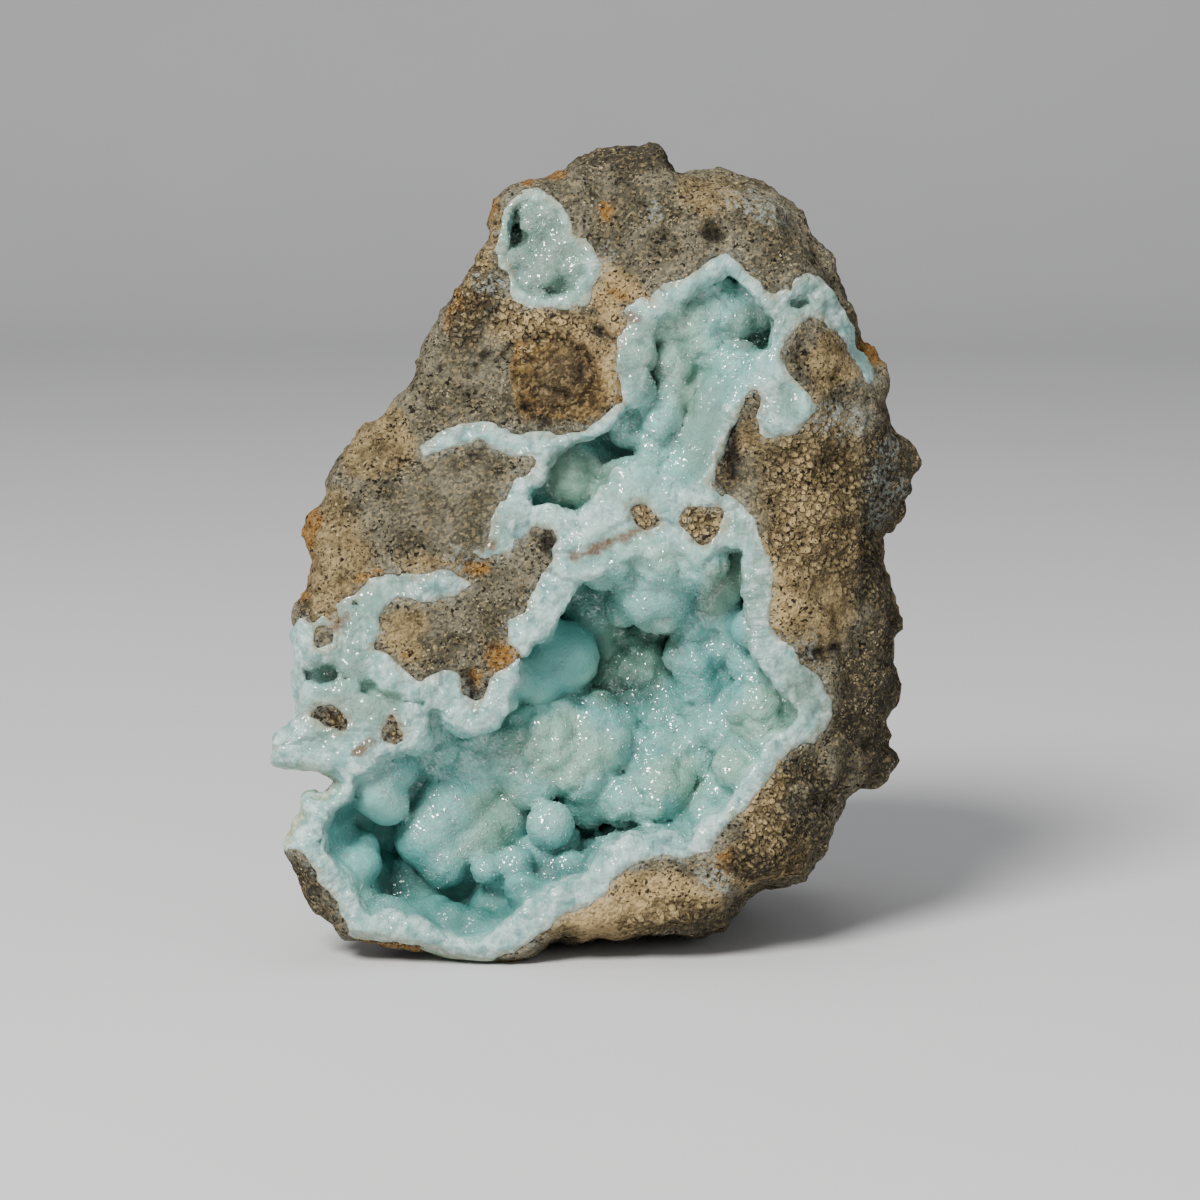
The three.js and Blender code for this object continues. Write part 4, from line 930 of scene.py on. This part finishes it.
def crust_field(crust, grid, rng):
    """A crust with its lumps, gaps and pits, negative inside."""
    u, w, v = grid.u, grid.w, grid.v
    hollow_values = hollows_field(crust.hollows, u, w, v)
    gaps = lumps_field(GAPS, grid)
    lumps = crust.lumps + wall_lumps(hollow_values, gaps, grid, WALL_LUMP_SPACING, rng)
    open_space = smooth_max(hollow_values, -lumps_field(lumps, grid), LUMP_BLEND)
    open_space = smooth_min(open_space, gaps, 0.4)
    solid = np.maximum(body_field(u, w, v), crust_space(crust, u, w, v)) - CRUST_OVERLAP
    standing_out = [(cu, cv, cw + face_depth(cu, cv), radius) for cu, cv, cw, radius in FACE_LUMPS]
    within = np.maximum(crust_space(crust, u, 0.0, v), outline_distance(SILHOUETTE, u, v) + 0.2)
    field = smooth_max(solid, -open_space, 0.35)
    field = smooth_min(field, np.maximum(lumps_field(standing_out, grid), within), 1.1)
    field = smooth_max(field, -pits_field(u, w, v), 0.3)
    return np.maximum(field, below_ground(w, v) + 0.3)


def crust_relief(u, w, v, rim, to_rock):
    """How far the crust's knobs, ripples and broken plates stand out of its plain shape."""
    knobs = 1.5 * domes(u, w, v, 3.1) + 0.6 * domes(u, w, v, 1.5)
    ripples = 0.4 * domes(u, w, v, 3.4) + 0.1 * domes(u, w, v, 1.2)
    broken = 0.5 * domes(u, w, v, 4.3) + 0.6 * domes(u, w, v, 2.3) + 0.4 * domes(u, w, v, 1.2)
    broken += 0.45 * plates(u, w, v, 2.1) + 0.25 * plates(u, w, v, 1.1)
    relief = mix(mix(ripples, knobs, spots(u, v, KNOBBLY_PLACES)), broken, rim)
    return relief * smoothstep(-0.3, 0.9, to_rock) * smoothstep(0.05, 1.5, -below_ground(w, v))


def crust_masks(crust, u, w, v, rim, relief, to_rock):
    """Where a crust has each of its looks. rim is 1 on its broken face."""
    behind_face = w - face_depth(u, v)
    near_face = smoothstep(4, 2, behind_face)
    along, across = fibre_coordinates(u, v, [outline for _, outline in crust.hollows])
    outer_edge = outline_distance(SILHOUETTE, u, v) + 0.5 * noise(u, w, v, 1.6)
    soft_rim = rim * mix(1, 0.4, spots(u, v, SOFT_PLACES, 0.3, 1.3))
    inside = 1 - soft_rim
    return {
        "rim": soft_rim,
        # How deep behind the face, for the painted shade deep in the hollows.
        "depth": np.clip(behind_face / 18, 0, 1),
        "along": along,
        "across": across,
        "blue": spots(u, v, BLUE_PLACES, 0.2, 1.5) * inside,
        "cream": spots(u, v, CREAM_PLACES, 0.2, 1.5),
        "grey": spots(u, v, GREY_PLACES, 0.2, 1.5),
        "vein": line_mask(u, v, VEINS) * near_face,
        "stain": smoothstep(-1.2, 0.2, outer_edge) * smoothstep(30, 14, v),
        # Painted shade in the creases between the knobs and lumps.
        "crease": smoothstep(0.0, -0.5, relief),
        "shade": spots(u, v, SHADE_PLACES, 0.1, 1.3) * inside,
        "sleek": spots(u, v, SLEEK_PLACES) * inside,
        "seam": mix(3, np.clip(to_rock, 0, 3), near_face),
    }


def build_crust(crust, crust_material, druse_material):
    """A crust, and the druse on it."""
    rng = np.random.default_rng(crust.seed)
    grid = Grid(*crust.box, crust.cell)
    points, triangles = surface(crust_field(crust, grid, rng), grid)

    u, w, v = points.T
    in_hollow = hollows_field(crust.hollows, u, 0.0, v) + 0.25 * noise(u, w, v, 1)
    rim = smoothstep(-0.6, 0.2, in_hollow) * smoothstep(6, 2.5, w - face_depth(u, v))
    to_rock = np.minimum.reduce(
        [-outline_distance(crust.edge, u, v)] + [outline_distance(i, u, v) for i in crust.islands]
    )
    relief = crust_relief(u, w, v, rim, to_rock)
    masks = crust_masks(crust, u, w, v, rim, relief, to_rock)
    points = points + normals_of(points, triangles) * relief[:, None]
    make_piece(crust.name, points, triangles, crust_material, crust.node, masks)

    weight = smoothstep(0.5, 0, masks["rim"]) * open_weight(points, crust.hollows)
    weight *= 1 - 0.85 * masks["sleek"]
    places, up, vertex = scatter(points, triangles, weight, crust.druse_count, rng)
    crystals, faces = druse_mesh(places, up, DRUSE_SIZE, rng)
    on_crystals = {key: np.repeat(mask[vertex], 5) for key, mask in masks.items()}
    name = crust.name + "_druse"
    make_piece(name, crystals, faces, druse_material, crust.node, on_crystals, False)


def open_weight(points, hollows):
    """1 on the lumps and walls that face a hollow, and 0 on the hidden back of the crust."""
    u, w, v = points.T
    hidden = hollows_field(hollows, u, w, v) > 0.62 * CRUST_THICKNESS
    return np.where(hidden, 0.0, 1.0)


class Shader:
    """Short names for building a material's nodes."""

    def __init__(self, name):
        self.material = bpy.data.materials.new(name)
        self.material.use_nodes = True
        self.tree = self.material.node_tree
        self.surface = self.tree.nodes["Principled BSDF"]
        place = self.node("ShaderNodeTexCoord", {}, "Object")
        self.millimetres = self.vector("SCALE", {0: place, "Scale": 1 / MM})

    def connect(self, source, target):
        """Links a socket to an input, or sets the input to a number, a vector or a colour."""
        if isinstance(source, bpy.types.NodeSocket):
            self.tree.links.new(source, target)
        elif hasattr(target.default_value, "__len__"):
            target.default_value = (*source, 1)[:len(target.default_value)]
        else:
            target.default_value = source

    def node(self, kind, inputs, output=0, **settings):
        """Adds a node with its inputs, by name or place, and gives one of its outputs."""
        node = self.tree.nodes.new(kind)
        for key, value in settings.items():
            setattr(node, key, value)
        for key, source in inputs.items():
            self.connect(source, node.inputs[key])
        return node.outputs[output]

    def attribute(self, name):
        return self.node("ShaderNodeAttribute", {}, "Fac", attribute_name=name)

    def math(self, operation, a, b):
        return self.node("ShaderNodeMath", {0: a, 1: b}, operation=operation)

    def times(self, *values):
        """The product of two values or more."""
        product = values[0]
        for value in values[1:]:
            product = self.math("MULTIPLY", product, value)
        return product

    def vector(self, operation, inputs):
        return self.node("ShaderNodeVectorMath", inputs, operation=operation)

    def noise(self, size, detail=3, roughness=0.55, vector=None, output="Fac"):
        """Fractal noise from 0 to 1 whose largest grains are about size millimetres."""
        return self.node("ShaderNodeTexNoise", {
            "Vector": vector or self.millimetres, "Scale": 1 / size, "Detail": detail,
            "Roughness": roughness,
        }, output)

    def warped(self, size, amount):
        """The millimetre coordinates pushed about, so that grains aren't regular."""
        push = self.noise(size, 2, 0.5, output="Color")
        return self.vector("MULTIPLY_ADD", {0: push, 1: (amount,) * 3, 2: self.millimetres})

    def cells(self, size, output="Distance", vector=None):
        inputs = {"Vector": vector or self.millimetres, "Scale": 1 / size}
        return self.node("ShaderNodeTexVoronoi", inputs, output)

    def grains(self, size, vector=None):
        """One random value from 0 to 1 for each grain."""
        return self.node("ShaderNodeSeparateColor", {0: self.cells(size, "Color", vector)})

    def tilted(self, size, amount):
        """The surface's direction, tilted at random from facet to facet."""
        tilts = {0: self.cells(size, "Color"), 1: (amount,) * 3, 2: (-amount / 2,) * 3}
        straight = self.node("ShaderNodeNewGeometry", {}, "Normal")
        tilted = self.vector("ADD", {0: self.vector("MULTIPLY_ADD", tilts), 1: straight})
        return self.vector("NORMALIZE", {0: tilted})

    def ramp(self, value, low, high, start=0.0, end=1.0):
        """A smooth change from start to end as value goes from low to high."""
        return self.node("ShaderNodeMapRange", {
            "Value": value, "From Min": low, "From Max": high, "To Min": start, "To Max": end,
        }, "Result", interpolation_type="SMOOTHSTEP")

    def mix(self, factor, a, b, blend="MIX"):
        inputs = {0: factor, 6: a, 7: b}
        return self.node("ShaderNodeMix", inputs, 2, data_type="RGBA", blend_type=blend)

    def paint(self, colour, tone, mask, amount=1.0):
        """A colour with a tone over it where a mask is, which is a value or an attribute's name."""
        if isinstance(mask, str):
            mask = self.attribute(mask)
        return self.mix(self.times(mask, amount), colour, tone)

    def darken(self, colour, factors, mask, amount):
        """A colour multiplied by its factors where a mask is."""
        return self.paint(colour, self.mix(1.0, colour, factors, "MULTIPLY"), mask, amount)

    def bump(self, height, distance):
        """distance is the bump's height in millimetres."""
        inputs = {"Height": height, "Distance": distance * MM}
        return self.node("ShaderNodeBump", inputs, "Normal")

    def set(self, **values):
        for key, value in values.items():
            self.connect(value, self.surface.inputs[key.replace("_", " ")])


def linear(red, green, blue):
    """A screen colour from 0 to 255 as scene-linear values."""
    scaled = (x / 255 for x in (red, green, blue))
    return tuple(x / 12.92 if x <= 0.04045 else ((x + 0.055) / 1.055) ** 2.4 for x in scaled)


def rock_material():
    s = Shader("rock")
    warped = s.warped(0.8, 0.5)
    ring = s.attribute("ring")
    grey = s.mix(s.ramp(s.noise(4, 4), 0.35, 0.65), linear(82, 78, 62), linear(122, 117, 98))
    tan = s.mix(s.ramp(s.noise(2.4, 4), 0.35, 0.65), linear(108, 92, 62), linear(158, 138, 98))
    dark = s.mix(s.noise(3), linear(32, 29, 21), linear(66, 60, 46))
    ochre = s.mix(s.noise(1.2), linear(118, 78, 22), linear(170, 122, 52))
    knob = s.mix(s.ramp(s.noise(1.1, 4), 0.36, 0.64), linear(60, 45, 24), linear(140, 112, 66))
    band = s.times(s.ramp(ring, 0.38, 0.46), s.ramp(ring, 0.64, 0.5))
    crumbs = s.cells(0.8, vector=warped)
    # Painted light on the crumbly rock: the crumbs' tops are paler, as painted highlights on partly pale
    # tan grains, and the crevices between them darker, as painted shade.
    lit_crumb_top = s.times(s.ramp(crumbs, 0.34, 0.1), s.attribute("crumbly"))
    shaded_crevice = s.times(s.ramp(crumbs, 0.4, 0.62), s.attribute("crumbly"))
    sandy = s.times(s.ramp(ring, 0.5, 1.0), s.math("SUBTRACT", 1.0, s.attribute("smooth")))
    sandy = s.math("ADD", s.times(sandy, 0.7), 0.3)
    sand = s.grains(0.35, warped)
    flecks = s.grains(0.2, warped)
    black = s.times(s.ramp(sand, 0.11, 0.09), s.ramp(s.noise(2.6, 2), 0.4, 0.56), sandy)
    small_black = s.times(s.ramp(flecks, 0.1, 0.08), sandy)
    pale = s.times(s.ramp(flecks, 0.93, 0.95), s.ramp(s.noise(3, 2), 0.46, 0.6), sandy)
    dust = s.times(s.ramp(s.noise(0.7, 4, 0.7), 0.48, 0.58), s.attribute("frost"))
    # From the lowest coat to the uppermost: its tone, where it lies, and how strong it is.
    colour = grey
    for tone, mask, amount in (
        (tan, "tan", 1), (linear(206, 178, 126), "bright", 0.7), (ochre, "ochre", 0.9),
        # Painted shade on the rock's right flank, top and recesses, together with its own dark patches.
        (dark, "dark", 0.85), (knob, s.ramp(ring, 1.02, 0.86), 0.95), (linear(40, 29, 16), band, 0.6),
        (linear(90, 76, 54), s.ramp(ring, 0.44, 0.3), 0.8), (linear(182, 156, 110), "streak", 0.85),
        # Painted shade in the rock's pits, then painted highlights on the tops of its crumbs.
        (linear(36, 29, 18), "hollow", 0.5), (linear(192, 172, 116), lit_crumb_top, 0.4),
        # Painted shade in the crevices between the crumbs.
        (linear(46, 37, 22), shaded_crevice, 0.65), (linear(44, 36, 22), s.ramp(sand, 0.6, 0.0), 0.5),
        (linear(184, 160, 112), s.ramp(sand, 0.6, 1.0), 0.32), (linear(20, 16, 11), black, 0.92),
        (linear(26, 21, 14), small_black, 0.85), (linear(206, 190, 150), pale, 0.6),
        (linear(22, 16, 10), "crack", 0.85), (linear(160, 168, 160), dust, 0.6),
    ):
        colour = s.paint(colour, tone, mask, amount)
    height = s.math("ADD", s.noise(1.1, 6, 0.75), s.times(s.cells(0.42, vector=warped), 0.5))
    height = s.math("SUBTRACT", height, s.times(shaded_crevice, 1.2))
    s.set(
        Base_Color=colour,
        Roughness=s.ramp(s.noise(0.7), 0.3, 0.7, 0.75, 0.97),
        Specular_IOR_Level=0.25,
        Normal=s.bump(height, 0.6),
    )
    return s.material


def crust_colour(s):
    """Blue-green in the hollows, paler outside, with greyish and creamy clouds, and painted shade deep in
    the hollows, under overhangs and in creases.
    """
    lit = s.mix(s.ramp(s.noise(5, 2), 0.35, 0.65), linear(116, 180, 173), linear(136, 194, 184))
    pale = s.mix(s.ramp(s.noise(2.2, 3), 0.36, 0.64), linear(122, 170, 165), linear(178, 207, 200))
    sandy = s.mix(s.noise(1.4), linear(122, 122, 102), linear(172, 168, 138))
    to_rock = s.math("ADD", s.attribute("seam"), s.times(s.noise(0.9, 4, 0.7), 2.2))
    colour = s.paint(lit, linear(104, 172, 168), "blue")
    colour = s.paint(colour, linear(142, 182, 160), "cream", 0.75)
    # Painted shade: the crust is darker and more blue-green the deeper it lies behind the face.
    colour = s.darken(colour, (0.6, 0.74, 0.72), s.ramp(s.attribute("depth"), 0.2, 0.9), 0.8)
    colour = s.darken(colour, (0.3, 0.42, 0.4), "shade", 0.85)
    colour = s.paint(colour, pale, "rim", 0.95)
    colour = s.paint(colour, linear(112, 140, 124), "grey", 0.7)
    # Painted shade in the creases.
    colour = s.darken(colour, (0.5, 0.68, 0.66), "crease", 0.75)
    colour = s.paint(colour, linear(164, 158, 92), "stain", 0.8)
    colour = s.paint(colour, sandy, s.ramp(to_rock, 1.75, 1.15), 0.7)
    return s.paint(colour, linear(104, 76, 42), "vein", 0.95)


def fibre_pattern(s):
    """Streaks that run across the broken edge of the crust."""
    across = s.times(s.attribute("across"), 0.24)
    joined = s.node("ShaderNodeCombineXYZ", {0: s.attribute("along"), 1: across})
    return s.noise(0.7, 3, 0.6, joined)


def crust_surface(s, **values):
    """What the crust and its druse share: a translucent stone with glittering facets."""
    FACET = 0.23  # millimetres
    off_sleek = s.ramp(s.attribute("sleek"), 0, 1, 1, 0.15)
    off_rim = s.ramp(s.attribute("rim"), 0, 1, 1, 0.35)
    s.set(
        Subsurface_Weight=0.5,
        Subsurface_Radius=(0.6, 1.2, 1.2),
        Subsurface_Scale=0.8 * MM,
        IOR=1.61,
        Coat_Weight=s.times(s.ramp(s.grains(FACET), 0.3, 0.35), off_sleek, off_rim),
        Coat_Roughness=0.07,
        Coat_IOR=2.0,
        Coat_Normal=s.tilted(FACET, 0.8),
        **values,
    )


def crust_material():
    s = Shader("crust")
    rim = s.attribute("rim")
    fibres = fibre_pattern(s)
    chalky = s.ramp(s.noise(1.9, 4), 0.44, 0.6)
    off_veins = s.math("SUBTRACT", 1.0, s.attribute("vein"))
    white = s.times(s.ramp(fibres, 0.3, 0.66), rim, chalky, off_veins)
    bands = s.times(s.ramp(s.noise(1.3, 3), 0.52, 0.66), rim)
    colour = s.paint(crust_colour(s), linear(214, 233, 228), white, 0.7)
    colour = s.paint(colour, linear(108, 148, 146), bands, 0.5)
    layers = s.times(s.cells(1.1, vector=s.warped(1.4, 0.8)), -0.9)
    streaks = s.times(s.math("ADD", fibres, layers), rim, 1.1)
    crust_surface(
        s,
        Base_Color=colour,
        Roughness=s.math("ADD", s.ramp(s.noise(0.6), 0.3, 0.7, 0.28, 0.5), s.times(rim, 0.2)),
        Normal=s.bump(s.math("ADD", s.noise(0.8, 5, 0.7), streaks), 0.35),
    )
    return s.material


def druse_material():
    s = Shader("druse")
    colour = s.mix(0.1, crust_colour(s), linear(228, 240, 238))
    crust_surface(s, Base_Color=colour, Roughness=0.16)
    return s.material


def floor_material():
    s = Shader("floor")
    tone = s.mix(s.noise(90, 2), linear(205, 205, 206), linear(212, 212, 213))
    s.set(Base_Color=tone, Roughness=0.7)
    return s.material


def build_floor(material):
    """A pale floor that curves up behind the specimen."""
    WIDTH, FRONT, BACK, RISE, BEND = 3.0, -1.6, 0.9, 1.8, 0.35
    steps = 16
    profile = [(FRONT, 0.0)]
    for n in range(steps + 1):
        turn = math.pi / 2 * n / steps
        profile.append((BACK + BEND * math.sin(turn), BEND * (1 - math.cos(turn))))
    profile.append((BACK + BEND, RISE))
    vertices = [(side * WIDTH / 2, y, z) for y, z in profile for side in (-1, 1)]
    faces = [(2 * n, 2 * n + 1, 2 * n + 3, 2 * n + 2) for n in range(len(profile) - 1)]
    mesh = bpy.data.meshes.new("floor")
    mesh.from_pydata(vertices, [], faces)
    mesh.materials.append(material)
    mesh.polygons.foreach_set("use_smooth", [True] * len(faces))
    floor = bpy.data.objects.new("floor", mesh)
    bpy.context.scene.collection.objects.link(floor)


def face_direction(u, w, v):
    """A direction of the face frame in the row's frame."""
    return Vector((
        u, w * math.cos(LEAN) + v * math.sin(LEAN), v * math.cos(LEAN) - w * math.sin(LEAN)
    ))


def build_camera():
    """Square to the broken face, with the photo's framing."""
    FRAME_WIDTH = 136.8  # what the square frame spans at the face, in millimetres
    FRAME_MIDDLE = (0.0, 0.0, 41.95)
    DISTANCE = 456.0
    SENSOR = 36.0
    data = bpy.data.cameras.new("camera")
    data.sensor_width = SENSOR
    data.lens = SENSOR * DISTANCE / FRAME_WIDTH
    data.clip_start = 0.01
    camera = bpy.data.objects.new("camera", data)
    bpy.context.scene.collection.objects.link(camera)
    aim = Vector(to_world(np.array([FRAME_MIDDLE]))[0])
    right, up, ahead = Vector((1, 0, 0)), face_direction(0, 0, 1), face_direction(0, 1, 0)
    turn = Matrix((right, up, -ahead)).transposed().to_4x4()
    camera.matrix_world = Matrix.Translation(aim - ahead * DISTANCE * MM) @ turn
    bpy.context.scene.camera = camera


def add_light(name, place, size, power, colour=(1, 1, 1)):
    """A round soft light turned to the middle of the specimen."""
    MIDDLE = Vector((0, 0, 0.045))
    data = bpy.data.lights.new(name, "AREA")
    data.shape = "DISK"
    data.size = size
    data.energy = power
    data.color = colour
    light = bpy.data.objects.new(name, data)
    light.location = place
    light.rotation_euler = (MIDDLE - Vector(place)).to_track_quat("-Z", "Y").to_euler()
    bpy.context.scene.collection.objects.link(light)


def build_lights():
    add_light("key", (-0.36, -0.62, 0.72), 0.4, 17.5, (1, 0.985, 0.96))
    add_light("fill", (0.6, -0.6, 0.35), 0.5, 0.8)
    add_light("top", (0.0, 0.1, 0.9), 0.5, 1.6)
    world = bpy.data.worlds.new("studio")
    world.use_nodes = True
    background = world.node_tree.nodes["Background"]
    background.inputs["Color"].default_value = (0.83, 0.86, 0.9, 1)
    background.inputs["Strength"].default_value = 0.27
    bpy.context.scene.world = world


build_camera()
build_lights()
build_floor(floor_material())
build_rock(rock_material())
crust_looks = (crust_material(), druse_material())
for crust in (MAIN_CRUST, CORNER_CRUST):
    build_crust(crust, *crust_looks)
